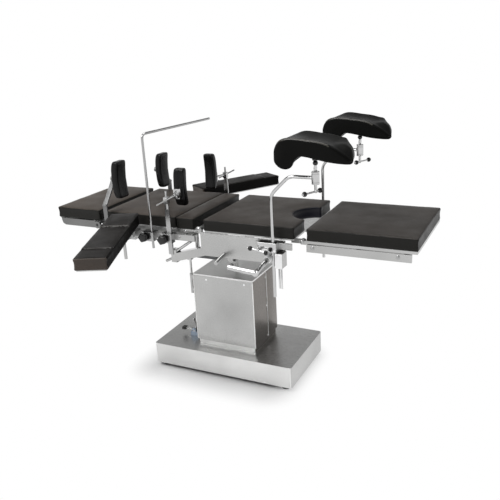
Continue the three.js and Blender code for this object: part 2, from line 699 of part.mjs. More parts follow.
function makeSeatFrame() {
    const inner = panel.outer - panel.thickness - fit;
    const sheetBottom = supportTop - plate.thickness;
    const x0 = seatStart + plate.inset;
    const x1 = seatEnd - plate.inset;
    let body = cut(
        block(x0, x1, -inner, inner, sheetBottom, supportTop),
        perinealCut(x1 + overrun / 2, perineal.depth, perineal.half + plate.inset,
            sheetBottom - overrun, supportTop + overrun));
    const tongueBottom = rollShaft.tongueTop - rollShaft.tongue;
    const plateEnd = rollShaft.plateStart + rollShaft.plateThickness;
    body = fuse(body,
        block(x0, x0 + plate.thickness, -inner, inner, tongueBottom, supportTop - fit),
        block(-plateEnd, x0 + fit, -rollShaft.plateHalf, rollShaft.plateHalf, tongueBottom,
            rollShaft.tongueTop),
        block(-plateEnd, -rollShaft.plateStart, -rollShaft.plateHalf, rollShaft.plateHalf,
            rollAxis - rollShaft.plateDrop, rollShaft.tongueTop - fit),
        block(rollShaft.plateStart, plateEnd, -rollShaft.plateHalf, rollShaft.plateHalf,
            rollAxis - rollShaft.plateDrop, supportTop - fit));
    for (const { s } of sidesOfTable) {
        body = fuse(body, block(x0, x0 + plate.thickness, s * lowerWall, s * inner,
            panel.bottom + plate.thickness, tongueBottom + fit));
    }
    const shaftEnd = rollShaft.plateStart + rollShaft.plateThickness / 2;
    body = fuse(body, bar([-shaftEnd, 0, rollAxis], [shaftEnd, 0, rollAxis], rollShaft.radius, facets.large));
    for (const { s } of sidesOfTable) {
        const lugEnd = hinge.inner + hinge.plate;
        const lug = fuse(
            block(x1 - 2 * hinge.radius, legHinge.x, s * hinge.inner, s * lugEnd,
                legHinge.z - hinge.radius + fit, sheetBottom + fit),
            pinThrough(legHinge.x, legHinge.z, s, hinge.inner, lugEnd, hinge.radius));
        body = fuse(body, cut(lug, pinThrough(legHinge.x, legHinge.z, s, hinge.inner - overrun,
            lugEnd + overrun, hinge.pin + pinPlay)));
    }
    add('seat_frame', body, 'casting');

    for (const { name, s } of sidesOfTable) {
        const outline = [
            [panel.start, panelTop], [panel.start, panel.bottom], [panel.end - panel.slope, panel.bottom],
            [panel.end, panel.bottom + panel.slope], [panel.end, panelTop],
        ];
        const y0 = s * (panel.outer - panel.thickness);
        const y1 = s * panel.outer;
        const ear = [
            [backHinge.x, backHinge.z - panel.bossRadius], [panel.start + panel.bossRadius,
                backHinge.z - 2 * panel.bossRadius], [panel.start + panel.bossRadius, panelTop],
            [backHinge.x, backHinge.z],
        ];
        let side = fuse(sidePlate(outline, y0, y1), sidePlate(ear, y0, y1),
            pinThrough(backHinge.x, backHinge.z, s, panel.outer - panel.thickness, panel.outer,
                panel.bossRadius),
            ...railOn(s, panel.outer, seatRail.start, seatEnd - plate.inset, seatRailTop,
                seatRail.spacerShares));
        side = cut(side, pinThrough(backHinge.x, backHinge.z, s, panel.outer - panel.thickness - overrun,
            panel.outer + overrun, hinge.pin + pinPlay));
        if (s < 0) {
            side = fuse(side, ...crankSockets());
        }
        add(`side_panel_${name}`, side, 'steel');
    }
}

// A point further along the direction in which the crank's shaft leaves the front panel
function alongCrank(from, distance) {
    const angle = THREE.MathUtils.degToRad(crank.slope);
    return [from[0], from[1] - distance * Math.cos(angle), from[2] - distance * Math.sin(angle)];
}

// Where the crank's shaft meets the panel, and where it starts inside its collar
const crankRoot = [crank.x, -panel.outer, crank.z];
const shaftStart = alongCrank(crankRoot, crank.collarLength / 3);

// Two drive sockets on the front panel: an open one, and the collar that holds the crank
function crankSockets() {
    const behind = block(panel.start, panel.end, -panel.outer + panel.thickness, 0, 0, panelTop);
    const root = [openSocket.x, -panel.outer, panel.bottom + openSocket.rise];
    const collarEnd = alongCrank(crankRoot, crank.collarLength);
    return [
        cut(bar(alongCrank(root, -panel.thickness), alongCrank(root, openSocket.length),
            openSocket.radius, facets.bar),
            behind),
        cut(bar(alongCrank(crankRoot, -panel.thickness), collarEnd, crank.collar, facets.round),
            behind,
            bar(alongCrank(shaftStart, -pinPlay), alongCrank(collarEnd, overrun), crank.shaft + pinPlay,
                facets.bar)),
    ];
}

function makeDrive() {
    const y0 = -panel.outer - fit;
    const y1 = y0 - gearbox.depth;
    let box = block(gearbox.start, gearbox.end, y0, y1, gearbox.bottom, gearbox.bottom + gearbox.height);
    for (const [along, across] of gearboxRodShares) {
        const x = gearbox.start + (gearbox.end - gearbox.start) * along;
        const y = y0 - gearbox.depth * across;
        box = fuse(box, bar([x, y, gearbox.rodBottom], [x, y, gearbox.bottom + fit], gearbox.rod,
            facets.thin));
    }
    add('gearbox', box, 'steel');

    const knee = alongCrank(crankRoot, crank.length);
    const lean = THREE.MathUtils.degToRad(crank.lean);
    const slope = THREE.MathUtils.degToRad(crank.slope);
    const tip = [
        knee[0] - crank.throw * Math.cos(lean),
        knee[1] - crank.throw * Math.sin(lean) * Math.sin(slope),
        knee[2] + crank.throw * Math.sin(lean) * Math.cos(slope),
    ];
    add('crank_handle', fuse(
        bar(shaftStart, alongCrank(knee, crank.shaft), crank.shaft, facets.bar),
        flatBar(knee, tip, 2 * crank.arm, 2 * crank.arm),
        bar(tip, alongCrank(tip, -crank.grip), crank.arm)), 'chrome');
}

function makeBackJack() {
    const group = placed(backJack.x, backJack.y, backJack.z);
    const lift = THREE.MathUtils.degToRad(backJack.tilt);
    const halfY = backJack.width / 2;
    const end = [-backJack.length * Math.cos(lift), 0, -backJack.length * Math.sin(lift)];
    const box = new THREE.BoxGeometry(backJack.length, backJack.width, backJack.height);
    box.translate(-backJack.length / 2, 0, 0);
    box.rotateY(-lift);
    const rise = THREE.MathUtils.degToRad(jackRods.angle);
    let body = fuse(solid(box),
        block(end[0] - jackBracket.half, end[0] + jackBracket.half, -halfY - fit, halfY + fit,
            end[2] - jackBracket.down, end[2] + jackBracket.up),
        bar(end, [end[0] - 2 * jackBracket.reach, 0, end[2] - jackBracket.reach], jackRods.radius));
    for (const s of [-1, 1]) {
        const y = s * jackRods.spread;
        const start = [end[0], y, end[2] + jackBracket.up - 2 * jackRods.radius];
        body = fuse(body, bar(start, [start[0] + jackRods.length * Math.cos(rise), y,
            start[2] + jackRods.length * Math.sin(rise)], jackRods.radius));
    }
    const face = seatStart + plate.inset - fit - backJack.x;
    body = cut(body, block(face, face + backJack.length, -top.width, top.width, -top.width, top.width));
    add('back_jack', body, 'steel', group);
}

// Kidney bridge on two guide posts through the back frame
const guide = { radius: 10, y: halfTop - sideInset.guide, bottom: 640, beam: 18, plateInset: 2 };

function makeBackSection() {
    const sheetBottom = supportTop - plate.thickness;
    const x0 = backStart + plate.inset;
    const x1 = backEnd - plate.inset;
    const guideX = (bridgeStart + bridgeEnd) / 2;
    const channelBottom = supportTop - channel.depth;
    let body = block(x0, x1, -channel.outer, channel.outer, sheetBottom, supportTop);
    for (const share of backShares.cross) {
        const x = x0 + (x1 - x0) * share;
        body = fuse(body, block(x - channel.thickness, x + channel.thickness, -channel.outer + fit,
            channel.outer - fit, channelBottom + channel.thickness, supportTop - fit));
    }
    body = fuse(body, cut(
        block(guideX - guide.beam, guideX + guide.beam, -channel.outer + fit, channel.outer - fit,
            channelBottom, channelBottom + guide.beam),
        ...sidesOfTable.map(({ s }) => bar([guideX, s * guide.y, channelBottom - overrun],
            [guideX, s * guide.y, channelBottom + guide.beam + overrun], guide.radius + pinPlay,
            facets.round))));
    for (const { s } of sidesOfTable) {
        const y0 = s * (channel.outer - channel.thickness);
        const y1 = s * channel.outer;
        const outline = [
            [x0, channelBottom], [bridgeEnd - channel.depth / 2, channelBottom],
            [backHinge.x + hinge.radius, backHinge.z - hinge.radius], [backHinge.x, backHinge.z],
            [bridgeEnd, supportTop - plate.inset], [x0, supportTop - plate.inset],
        ];
        body = fuse(body, sidePlate(outline, y0, y1),
            pinThrough(backHinge.x, backHinge.z, s, channel.outer - channel.thickness, channel.outer,
                hinge.boss),
            pinThrough(backHinge.x, backHinge.z, s, channel.outer - channel.thickness,
                panel.outer + hinge.proud, hinge.pin),
            ...railOn(s, channel.outer, x0, bridgeEnd + channel.thickness, railTop, backShares.spacer));
        const lugEnd = hinge.inner + hinge.plate;
        const lug = fuse(
            block(headHinge.x, x0 + 3 * hinge.radius, s * hinge.inner, s * lugEnd,
                headHinge.z - hinge.radius + fit, supportTop - fit),
            pinThrough(headHinge.x, headHinge.z, s, hinge.inner, lugEnd, hinge.radius));
        body = fuse(body, cut(lug, pinThrough(headHinge.x, headHinge.z, s, hinge.inner - overrun,
            lugEnd + overrun, hinge.pin + pinPlay)));
    }
    add('back_frame', body, 'steel');

    const bridgeHalf = channel.outer - channel.thickness - slideGap;
    let bridge = block(bridgeStart + guide.plateInset, bridgeEnd - guide.plateInset, -bridgeHalf, bridgeHalf,
        sheetBottom, supportTop);
    for (const { s } of sidesOfTable) {
        bridge = fuse(bridge, bar([guideX, s * guide.y, guide.bottom],
            [guideX, s * guide.y, supportTop - fit],
            guide.radius, facets.bar));
    }
    add('kidney_bridge', bridge, 'steel');
}

function hingeArms(pivot, toX, zLow, zHigh) {
    const pieces = [];
    for (const { s } of sidesOfTable) {
        pieces.push(
            block(pivot.x, toX, s * hingeArmInner, s * hingeArmOuter, zLow, zHigh),
            pinThrough(pivot.x, pivot.z, s, hingeArmInner, hingeArmOuter, hinge.radius),
            pinThrough(pivot.x, pivot.z, s, hinge.inner - pinPlay, hingeArmInner + fit, hinge.pin));
    }
    return pieces;
}

function makeHeadSection() {
    const x0 = headStart + headTray.inset;
    const x1 = headEnd - headTray.inset / 2;
    const low = supportTop - headTray.depth;
    const nick = headTray.cornerCut * headTray.cornerShare;
    const sideStart = x0 + headTray.inset;
    const sideEnd = headEnd - headTray.stop;
    let body = fuse(
        block(x0, x1, -headTray.sideY + headTray.side, headTray.sideY - headTray.side,
            supportTop - headTray.sheet, supportTop),
        ...[sideStart + headTray.cross, sideEnd - headTray.cross].map((x) => block(x, x + headTray.cross,
            -headTray.sideY + headTray.side / 2, headTray.sideY - headTray.side / 2, low + headTray.cross,
            supportTop - fit)),
        ...hingeArms(headHinge, sideEnd - headTray.cross, headHinge.z - hinge.radius + fit,
            supportTop - headTray.sheet / 2));
    for (const { s } of sidesOfTable) {
        const outline = [
            [sideStart, supportTop - headTray.side], [sideStart, low + headTray.cornerCut],
            [sideStart + nick, low + nick],
            [sideStart + headTray.cornerCut, low], [sideEnd, low], [sideEnd, supportTop - headTray.side],
        ];
        body = fuse(body, sidePlate(outline, s * (headTray.sideY - headTray.side), s * headTray.sideY),
            pinThrough(headHinge.x - headDisc.back - headDisc.radius,
                headHinge.z - headDisc.drop + headDisc.radius / 2, s,
                headTray.sideY - headTray.side, headTray.sideY + headDisc.length, headDisc.radius));
    }
    add('head_frame', body, 'steel');
}

function makeLegSection() {
    const x0 = legStart + legTray.inset;
    const x1 = legEnd - legTray.inset;
    const lipBottom = supportTop - legTray.lip;
    const railHigh = lipBottom - legSideRail.gap;
    const railLow = railHigh - legSideRail.height;
    const crossTop = supportTop - legTray.sheet / 2;
    let body = cut(
        block(x0, x1, -legTray.halfY, legTray.halfY, lipBottom, supportTop),
        block(x0 + legTray.wall, x1 - legTray.wall, legTray.wall - legTray.halfY,
            legTray.halfY - legTray.wall,
            lipBottom - overrun, supportTop - legTray.sheet));
    const inner = legTray.halfY - legSideRail.thickness;
    for (const share of legTray.crossShares) {
        const x = x0 + (x1 - x0) * share;
        body = fuse(body, block(x - legTray.cross / 2, x + legTray.cross / 2, -inner - fit, inner + fit,
            railLow + legSideRail.thickness, crossTop));
    }
    body = fuse(body,
        ...bothSides(x0 - legTray.inset, x1 - legSideRail.endInset, inner, legTray.halfY, railLow, railHigh),
        ...hingeArms(legHinge, x0 + (x1 - x0) * legTray.crossShares[0], legHinge.z - hinge.radius + fit,
            legHinge.z + hinge.radius / 2));
    add('leg_frame', body, 'steel');
}

function makeMattress() {
    const spans = {
        head: [headStart, headEnd], back: [backStart, backEnd], kidney: [bridgeStart, bridgeEnd],
        seat: [seatStart, seatEnd], leg: [legStart, legEnd],
    };
    for (const [name, [x0, x1]] of Object.entries(spans)) {
        let body = crownedCushion(x1 - x0, top.width, top.mattress);
        if (name === 'seat') {
            body = cut(body, perinealCut((x1 - x0) / 2, perineal.depth, perineal.half,
                -overrun, top.mattress + cushion.crown + overrun));
        }
        add(`${name}_cushion`, body, 'vinyl', placed((x0 + x1) / 2, 0, mattressBottom));
    }
}

// A block clamped on a rail, with a lip over and behind it; x is measured along the rail
function railClamp(x0, x1, s, zTop) {
    const y0 = s * (railOuter + fit);
    const y1 = s * clampOuter;
    const back = s * (rail.inner - fit - clamp.lip);
    const high = zTop + fit + clamp.lip;
    const low = zTop + fit + clamp.lip - clamp.height;
    return fuse(
        block(x0, x1, y0, y1, low, high),
        block(x0, x1, back, y1, zTop + fit, high),
        block(x0, x1, back, back + s * clamp.lip, zTop - clamp.hook, high));
}

function makeArmBoards() {
    const boardBottom = armBoard.top - armBoard.cushion - fit - armBoard.sheet;
    const hubTop = boardBottom - fit;
    const hubBottom = railTop - armHub.height;
    for (const { name, s } of sidesOfTable) {
        const { x, angle, length } = armPlaces[name];
        const turn = THREE.MathUtils.degToRad(angle);
        const pivotY = s * armBoard.pivotY;
        const bracket = cut(
            fuse(railClamp(x - armHub.clampHalf, x + armHub.clampHalf, s, railTop),
                block(x - armHub.radius, x + armHub.radius, s * (railOuter + clamp.lip), pivotY,
                    hubBottom, railTop),
                bar([x, pivotY, hubBottom], [x, pivotY, hubTop], armHub.radius, facets.round)),
            bar([x, pivotY, hubBottom - overrun], [x, pivotY, hubTop + overrun],
                armBoard.pin + pinPlay, facets.bar));
        add(`arm_clamp_${name}`, bracket, 'chrome');

        const group = placed(x, pivotY, 0, turn);
        const far = length - armBoard.near;
        const sheet = fuse(
            block(-armBoard.near + armSheetInset, far - armSheetInset, armSheetInset - armBoard.width / 2,
                armBoard.width / 2 - armSheetInset, boardBottom, boardBottom + armBoard.sheet),
            bar([0, 0, armBoard.pinBottom], [0, 0, boardBottom + armBoard.sheet / 2], armBoard.pin,
                facets.bar));
        add(`arm_plate_${name}`, sheet, 'steel', group);

        add(`arm_cushion_${name}`, armCushion(-armBoard.near, far, armBoard.width, armBoard.cushion,
            boardBottom + armBoard.sheet + fit), 'vinyl', group);
    }
}

// Arm board cushion: three pads in a row, drawn in at the two seams
function armCushion(x0, x1, width, height, z) {
    const stations = [
        [x0, armEnd.round], [x0 + armEnd.round / 3, armEnd.round / 3], [x0 + armEnd.round, 0],
    ];
    for (const share of armSeam.shares) {
        const x = x0 + (x1 - x0) * share;
        stations.push([x - 2 * armSeam.half, 0], [x, armSeam.depth], [x + 2 * armSeam.half, 0]);
    }
    stations.push([x1 - armEnd.round, 0], [x1 - armEnd.round / 3, armEnd.round / 3], [x1, armEnd.round]);
    const layers = stations.map(([x, inset]) => padSection(width / 2 - inset, height / 2 - inset,
        armEnd.round)
        .map(([a, b]) => new THREE.Vector3(x, a, z + height / 2 + b)));
    return layered(layers);
}

// Knob with a screw that turns in its clamp, pointing away from the table
function clampKnob(x, s, z, radius) {
    const y0 = s * (clampOuter + fit);
    return fuse(
        bar([x, y0, z], [x, y0 + s * (knobDepth.neck + fit), z], radius / 2),
        bar([x, y0 + s * knobDepth.neck, z], [x, y0 + s * (knobDepth.neck + knobDepth.head), z], radius,
            facets.round),
        bar([x, y0 - s * clamp.screwDepth, z], [x, y0 + s * fit, z], clamp.screw, facets.bar));
}

function screwHole(x, s, z) {
    return bar([x, s * (clampOuter - clamp.screwDepth - pinPlay), z], [x, s * (clampOuter + overrun), z],
        clamp.screw + pinPlay, facets.bar);
}

function makeScreen() {
    const s = -1;
    const knobX = screen.x - screen.knobOffset;
    const knobZ = railTop - screen.knobDrop;
    const y = s * postY;
    const clampBody = cut(railClamp(knobX - clamp.end, screen.x + clamp.end, s, railTop),
        bar([screen.x, y, screen.bottom], [screen.x, y, screen.top], screen.radius + pinPlay, facets.round),
        screwHole(knobX, s, knobZ));
    add('screen_clamp', clampBody, 'chrome');
    add('screen_knob', clampKnob(knobX, s, knobZ, clamp.knob), 'plastic');
    const turn = THREE.MathUtils.degToRad(screen.turn);
    const end = [screen.x + screen.reach * Math.sin(turn), y + screen.reach * Math.cos(turn), screen.top];
    add('screen_rod', bentRod([[screen.x, y, screen.bottom], [screen.x, y, screen.top], end],
        screen.bend, screen.radius), 'chrome');
}

function makeShoulderSupports() {
    for (const { name, s } of sidesOfTable) {
        const { x, padX, padY, padZ } = shoulderPlaces[name];
        const y = s * postY;
        const knee = [x, y, shoulder.kneeZ];
        const end = [padX, s * padY, padZ];
        const low = railTop + clamp.lip - clamp.height;
        add(`shoulder_bar_${name}`, fuse(
            railClamp(x - shoulderBar.clampHalf, x + shoulderBar.clampHalf, s, railTop),
            flatBar([x, y, low], knee, shoulderBar.width, shoulderBar.thickness),
            flatBar(knee, end, shoulderBar.width, shoulderBar.thickness),
            bar([x - shoulderBar.width / 2, y, shoulder.kneeZ],
                [x + shoulderBar.width / 2, y, shoulder.kneeZ], shoulderBar.thickness),
            bar([end[0] - shoulderStud.back, end[1], end[2]], [end[0] + shoulderStud.front, end[1], end[2]],
                shoulderStud.radius, facets.round)), 'chrome');
        const pad = bentPad(shoulder.padWidth, shoulder.padDepth, shoulder.padHeight, shoulder.sag);
        const group = placed(padX + shoulderStud.front + shoulder.padDepth / 2 + shoulder.sag / 2 + fit,
            s * padY, padZ);
        add(`shoulder_pad_${name}`, pad, 'glossPad', group);
    }
}

function makeBodySupports() {
    for (const { name, s } of sidesOfTable) {
        const { x, padX, reach, padLift } = bodyPlaces[name];
        const y = s * postY;
        const knobX = x - bodySupport.knobOffset;
        const knobZ = railTop - bodySupport.knobDrop;
        const halfW = bodySupport.postWidth / 2;
        const halfT = bodySupport.postThickness / 2;
        const clampBody = cut(railClamp(knobX - clamp.end, x + bodySupport.end, s, railTop),
            block(x - halfW - pinPlay, x + halfW + pinPlay, y - halfT - pinPlay, y + halfT + pinPlay,
                bodySupport.bottom, bodySupport.top),
            screwHole(knobX, s, knobZ));
        add(`body_clamp_${name}`, clampBody, 'chrome');
        add(`body_knob_${name}`, clampKnob(knobX, s, knobZ, clamp.knob), 'plastic');

        const socketTop = bodySupport.top + bodySocket.height;
        add(`body_post_${name}`, cut(
            fuse(block(x - halfW, x + halfW, y - halfT, y + halfT, bodySupport.bottom, bodySupport.top + fit),
                bar([x, y, bodySupport.top], [x, y, socketTop], bodySocket.radius, facets.round)),
            bar([x, y, bodySupport.top + bodySocket.floor], [x, y, socketTop + overrun],
                bodySocket.pin + pinPlay,
                facets.bar)), 'chrome');

        const knuckleY = y - s * reach;
        const lean = THREE.MathUtils.degToRad(tommyBar.tilt);
        const barY = y + s * (bodyArm.block + tommyBar.radius);
        const barX = tommyBar.half * Math.cos(lean);
        const barZ = tommyBar.half * Math.sin(lean);
        add(`body_arm_${name}`, fuse(
            bar([x, y, bodySupport.top + bodySocket.floor + fit], [x, y, bodyArm.pinTop], bodySocket.pin,
                facets.bar),
            block(x - bodyArm.block, x + bodyArm.block, y - bodyArm.block, y + bodyArm.block,
                socketTop + fit, bodyArm.blockTop),
            bar([x, y, bodySupport.armZ], [padX, knuckleY, bodySupport.armZ], bodyArm.rod),
            bar([padX, knuckleY + s * bodyArm.half, bodySupport.armZ],
                [padX, knuckleY - s * bodyArm.half, bodySupport.armZ], bodyArm.knuckle, facets.round),
            bar([x, y, bodySupport.armZ], [x, barY + s * tommyBar.radius, bodySupport.armZ], tommyBar.radius),
            bar([x - barX, barY, bodySupport.armZ - barZ], [x + barX, barY, bodySupport.armZ + barZ],
                tommyBar.radius)), 'chrome');

        const padOffset = bodyArm.half + bodySupport.padDepth / 2 + bodySupport.sag / 2 + fit;
        const group = placed(padX, knuckleY - s * padOffset, bodySupport.armZ + padLift, -s * Math.PI / 2);
        add(`body_pad_${name}`, bentPad(bodySupport.padWidth, bodySupport.padDepth,
            bodySupport.padHeight, bodySupport.sag), 'glossPad', group);
    }
}

// Side profile of a knee pad: a thick band that hooks down at the seat end.
// Shares of the pad's length, from the hook, and of its height, from its lowest point.
const padProfileShares = [
    [0.0, 0.52], [0.018, 0.68], [0.062, 0.83], [0.125, 0.935], [0.21, 0.99], [0.33, 0.985], [0.46, 0.95],
    [0.58, 0.92], [0.69, 0.87], [0.79, 0.80], [0.88, 0.70], [0.95, 0.58], [0.99, 0.46], [1.0, 0.36],
    [0.985, 0.28], [0.95, 0.245], [0.86, 0.25], [0.70, 0.285], [0.60, 0.325], [0.50, 0.375], [0.40, 0.415],
    [0.345, 0.40], [0.305, 0.33], [0.28, 0.23], [0.262, 0.12], [0.23, 0.035], [0.17, 0.0], [0.095, 0.045],
    [0.035, 0.19], [0.006, 0.36],
];
const ballShare = 0.452;

function kneePad(shift) {
    const layerShares = [-1, -0.93, -0.75, 0, 0.75, 0.93, 1];
    const insetShares = [1, 0.35, 0, 0, 0, 0.35, 1];
    const edge = 8;
    const gutter = 11;
    const outline = padProfileShares.map(([a, b]) => new THREE.Vector2(
        shift + (a - ballShare) * crutch.padLength, b * crutch.padHeight));
    const count = outline.length;
    const layers = layerShares.map((share, k) => outline.map((point, i) => {
        const before = outline[(i + count - 1) % count];
        const after = outline[(i + 1) % count];
        const along = after.clone().sub(before).normalize();
        const inward = new THREE.Vector2(along.y, -along.x).multiplyScalar(edge * insetShares[k]);
        const topShare = padProfileShares[i][1] > 0.6 ? 1 : 0;
        const dip = gutter * (1 - share * share) * topShare;
        return new THREE.Vector3(point.x + inward.x, share * crutch.padWidth / 2, point.y + inward.y - dip);
    }));
    return layered(layers);
}

function tBar(half, angle) {
    const turn = THREE.MathUtils.degToRad(angle);
    return [half * Math.cos(turn), half * Math.sin(turn)];
}

function makeCrutches() {
    const tClampZ = seatRailTop - crutch.handleDrop;
    for (const { name, s } of sidesOfTable) {
        const { x, headX, lift, padShift, barSlide } = crutchPlaces[name];
        const tClampX = x - crutch.handleOffset;
        const ballZ = crutch.ballZ + lift;
        const padBottom = ballZ - crutch.padDrop;
        const y = s * postY;
        const clampBody = cut(railClamp(tClampX - clamp.end, x + crutch.end, s, seatRailTop),
            bar([x, y, crutch.bottom], [x, y, crutch.bendStart], crutch.radius + pinPlay,
                facets.round),
            screwHole(tClampX, s, tClampZ));
        add(`crutch_clamp_${name}`, clampBody, 'chrome');

        const sleeveMid = crutch.bendEnd + lift;
        const sleeveLow = sleeveMid - crutch.sleeveHeight / 2;
        const sleeveHigh = sleeveMid + crutch.sleeveHeight / 2;
        let rod = fuse(
            bentRod([[x, y, crutch.bottom], [x, y, crutch.bendStart + lift],
                [x + crutch.rise, y, sleeveMid], [headX, y, sleeveMid]],
            crutch.bend, crutch.radius),
            bar([headX, y, sleeveLow], [headX, y, sleeveHigh], crutch.sleeve, facets.round),
            bar([headX, y, sleeveHigh - fit], [headX, y, ballZ], tHandle.stem),
            ball([headX, y, ballZ], crutch.ball));
        rod = cut(rod, bar([headX, y, sleeveLow - overrun], [headX, y, sleeveLow + 2 * overrun],
            tHandle.stem + pinPlay, facets.bar));
        add(`crutch_rod_${name}`, rod, 'chrome');

        const group = placed(headX, y, padBottom);
        const bossBottom = ballZ + crutch.ball + fit - padBottom;
        const bossTop = crutch.padHeight * 0.5;
        add(`crutch_pad_${name}`, fuse(kneePad(padShift),
            bar([0, 0, bossBottom], [0, 0, bossTop], crutch.ball, facets.bar)), 'glossPad', group);

        const [ax, ay] = tBar(barSlide - crutchHandle.sleeveReach, crutchHandle.sleeveAngle);
        const [cx, cy] = tBar(barSlide + crutchHandle.sleeveReach, crutchHandle.sleeveAngle);
        const barZ = sleeveLow - crutchHandle.sleeveDrop;
        add(`crutch_handle_${name}`, fuse(
            bar([headX, y, barZ], [headX, y, sleeveLow + overrun], tHandle.stem, facets.bar),
            bar([headX + ax, y + ay, barZ], [headX + cx, y + cy, barZ], tHandle.bar),
            ball([headX + ax, y + ay, barZ], tHandle.ball),
            ball([headX + cx, y + cy, barZ], tHandle.ball)), 'chrome');

        const [bx, bz] = tBar(tHandle.reach, crutchHandle.front);
        const barY = s * (clampOuter + crutchHandle.standOff);
        add(`clamp_handle_${name}`, fuse(
            bar([tClampX, s * (clampOuter + fit - clamp.screwDepth), tClampZ], [tClampX, barY, tClampZ],
                clamp.screw, facets.bar),
            bar([tClampX - bx, barY, tClampZ - bz], [tClampX + bx, barY, tClampZ + bz], tHandle.bar),
            ball([tClampX - bx, barY, tClampZ - bz], tHandle.ball),
            ball([tClampX + bx, barY, tClampZ + bz], tHandle.ball)), 'chrome');
    }
}

makeBase();
makePedals();
makeColumn();
makeCarriage();
makeSeatFrame();
makeDrive();
makeBackJack();
makeBackSection();
makeHeadSection();
makeLegSection();
makeMattress();
makeArmBoards();
makeScreen();
makeShoulderSupports();
makeBodySupports();
makeCrutches();

// The origin is on the floor, under the middle of the whole object's box
parts.updateMatrixWorld(true);
const extent = new THREE.Box3().setFromObject(parts, true);
const middle = extent.getCenter(new THREE.Vector3());
parts.position.set(-middle.x, -middle.y, -extent.min.z);

const table = new THREE.Group();
table.add(parts);

export default table;
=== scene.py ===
import json
import math

import bmesh
import bpy
from mathutils import Matrix, Vector, noise
from mathutils.geometry import delaunay_2d_cdt


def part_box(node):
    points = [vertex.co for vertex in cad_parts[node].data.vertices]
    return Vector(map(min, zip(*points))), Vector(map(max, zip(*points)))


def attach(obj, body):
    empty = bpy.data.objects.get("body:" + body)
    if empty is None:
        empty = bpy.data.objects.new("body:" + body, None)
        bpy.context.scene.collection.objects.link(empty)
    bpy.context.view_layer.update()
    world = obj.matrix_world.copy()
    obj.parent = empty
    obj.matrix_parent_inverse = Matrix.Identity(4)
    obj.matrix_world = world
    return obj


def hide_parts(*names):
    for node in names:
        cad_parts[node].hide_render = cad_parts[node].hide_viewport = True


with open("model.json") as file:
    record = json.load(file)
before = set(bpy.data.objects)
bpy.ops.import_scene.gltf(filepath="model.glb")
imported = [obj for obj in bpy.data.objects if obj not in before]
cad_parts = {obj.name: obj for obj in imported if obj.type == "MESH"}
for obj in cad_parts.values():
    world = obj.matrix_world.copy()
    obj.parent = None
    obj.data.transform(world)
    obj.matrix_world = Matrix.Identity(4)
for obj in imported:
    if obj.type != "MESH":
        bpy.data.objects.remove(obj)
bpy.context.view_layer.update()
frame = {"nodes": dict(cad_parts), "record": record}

SCALE = 0.001
# Middle of the base in the shared frame, in millimetres; every place below counts from it
base_low, base_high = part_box("base_cover")
BASE = Vector(((base_low[0] + base_high[0]) / 2, (base_low[1] + base_high[1]) / 2, 0.0)) / SCALE
UP = Vector((0, 0, 1))


def place(x, y, z):
    """A place given in millimetres from the middle of the base, in the scene's metres."""
    return (Vector((x, y, z)) + BASE) * SCALE


def ahead(point, direction, distance):
    """The point some millimetres further along a unit direction."""
    return point + direction * distance * SCALE


# Materials

def new_material(name):
    """A material with its nodes, its links and its shader."""
    mat = bpy.data.materials.new(name)
    mat.use_nodes = True
    nodes = mat.node_tree.nodes
    return mat, nodes, mat.node_tree.links, nodes["Principled BSDF"]


def ramp(nodes, links, source, low, high, start=0.3, end=0.7):
    """A colour ramp from low to high over a value."""
    item = nodes.new("ShaderNodeValToRGB")
    item.color_ramp.elements[0].position = start
    item.color_ramp.elements[0].color = low
    item.color_ramp.elements[1].position = end
    item.color_ramp.elements[1].color = high
    links.new(source, item.inputs["Fac"])
    return item.outputs["Color"]


def grain(nodes, links, scale, stretch=(1, 1, 1), detail=3.0):
    """Noise in the piece's own coordinates, drawn out along an axis by stretch."""
    coords = nodes.new("ShaderNodeTexCoord")
    mapping = nodes.new("ShaderNodeMapping")
    mapping.inputs["Scale"].default_value = stretch
    links.new(coords.outputs["Object"], mapping.inputs["Vector"])
    tex = nodes.new("ShaderNodeTexNoise")
    tex.inputs["Scale"].default_value = scale
    tex.inputs["Detail"].default_value = detail
    links.new(mapping.outputs["Vector"], tex.inputs["Vector"])
    return tex.outputs["Fac"]


def map_range(nodes, links, value, low, high, start=0.0, end=1.0, kind="LINEAR"):
    """Takes a value that runs from start to end to one that runs from low to high."""
    item = nodes.new("ShaderNodeMapRange")
    item.interpolation_type = kind
    for socket, number in (("From Min", start), ("From Max", end), ("To Min", low), ("To Max", high)):
        item.inputs[socket].default_value = number
    links.new(value, item.inputs["Value"])
    return item.outputs["Result"]


def math_node(nodes, links, operation, first, second):
    """The output of a math node fed by two values."""
    item = nodes.new("ShaderNodeMath")
    item.operation = operation
    links.new(first, item.inputs[0])
    links.new(second, item.inputs[1])
    return item.outputs[0]


def add_bump(nodes, links, bsdf, height, distance, strength, before=None):
    """Relief from a height, on top of an earlier relief if one is given."""
    bump = nodes.new("ShaderNodeBump")
    bump.inputs["Distance"].default_value = distance
    bump.inputs["Strength"].default_value = strength
    links.new(height, bump.inputs["Height"])
    if before is not None:
        links.new(before, bump.inputs["Normal"])
    links.new(bump.outputs["Normal"], bsdf.inputs["Normal"])
    return bump.outputs["Normal"]


def grey(v):
    return (v, v, v, 1)


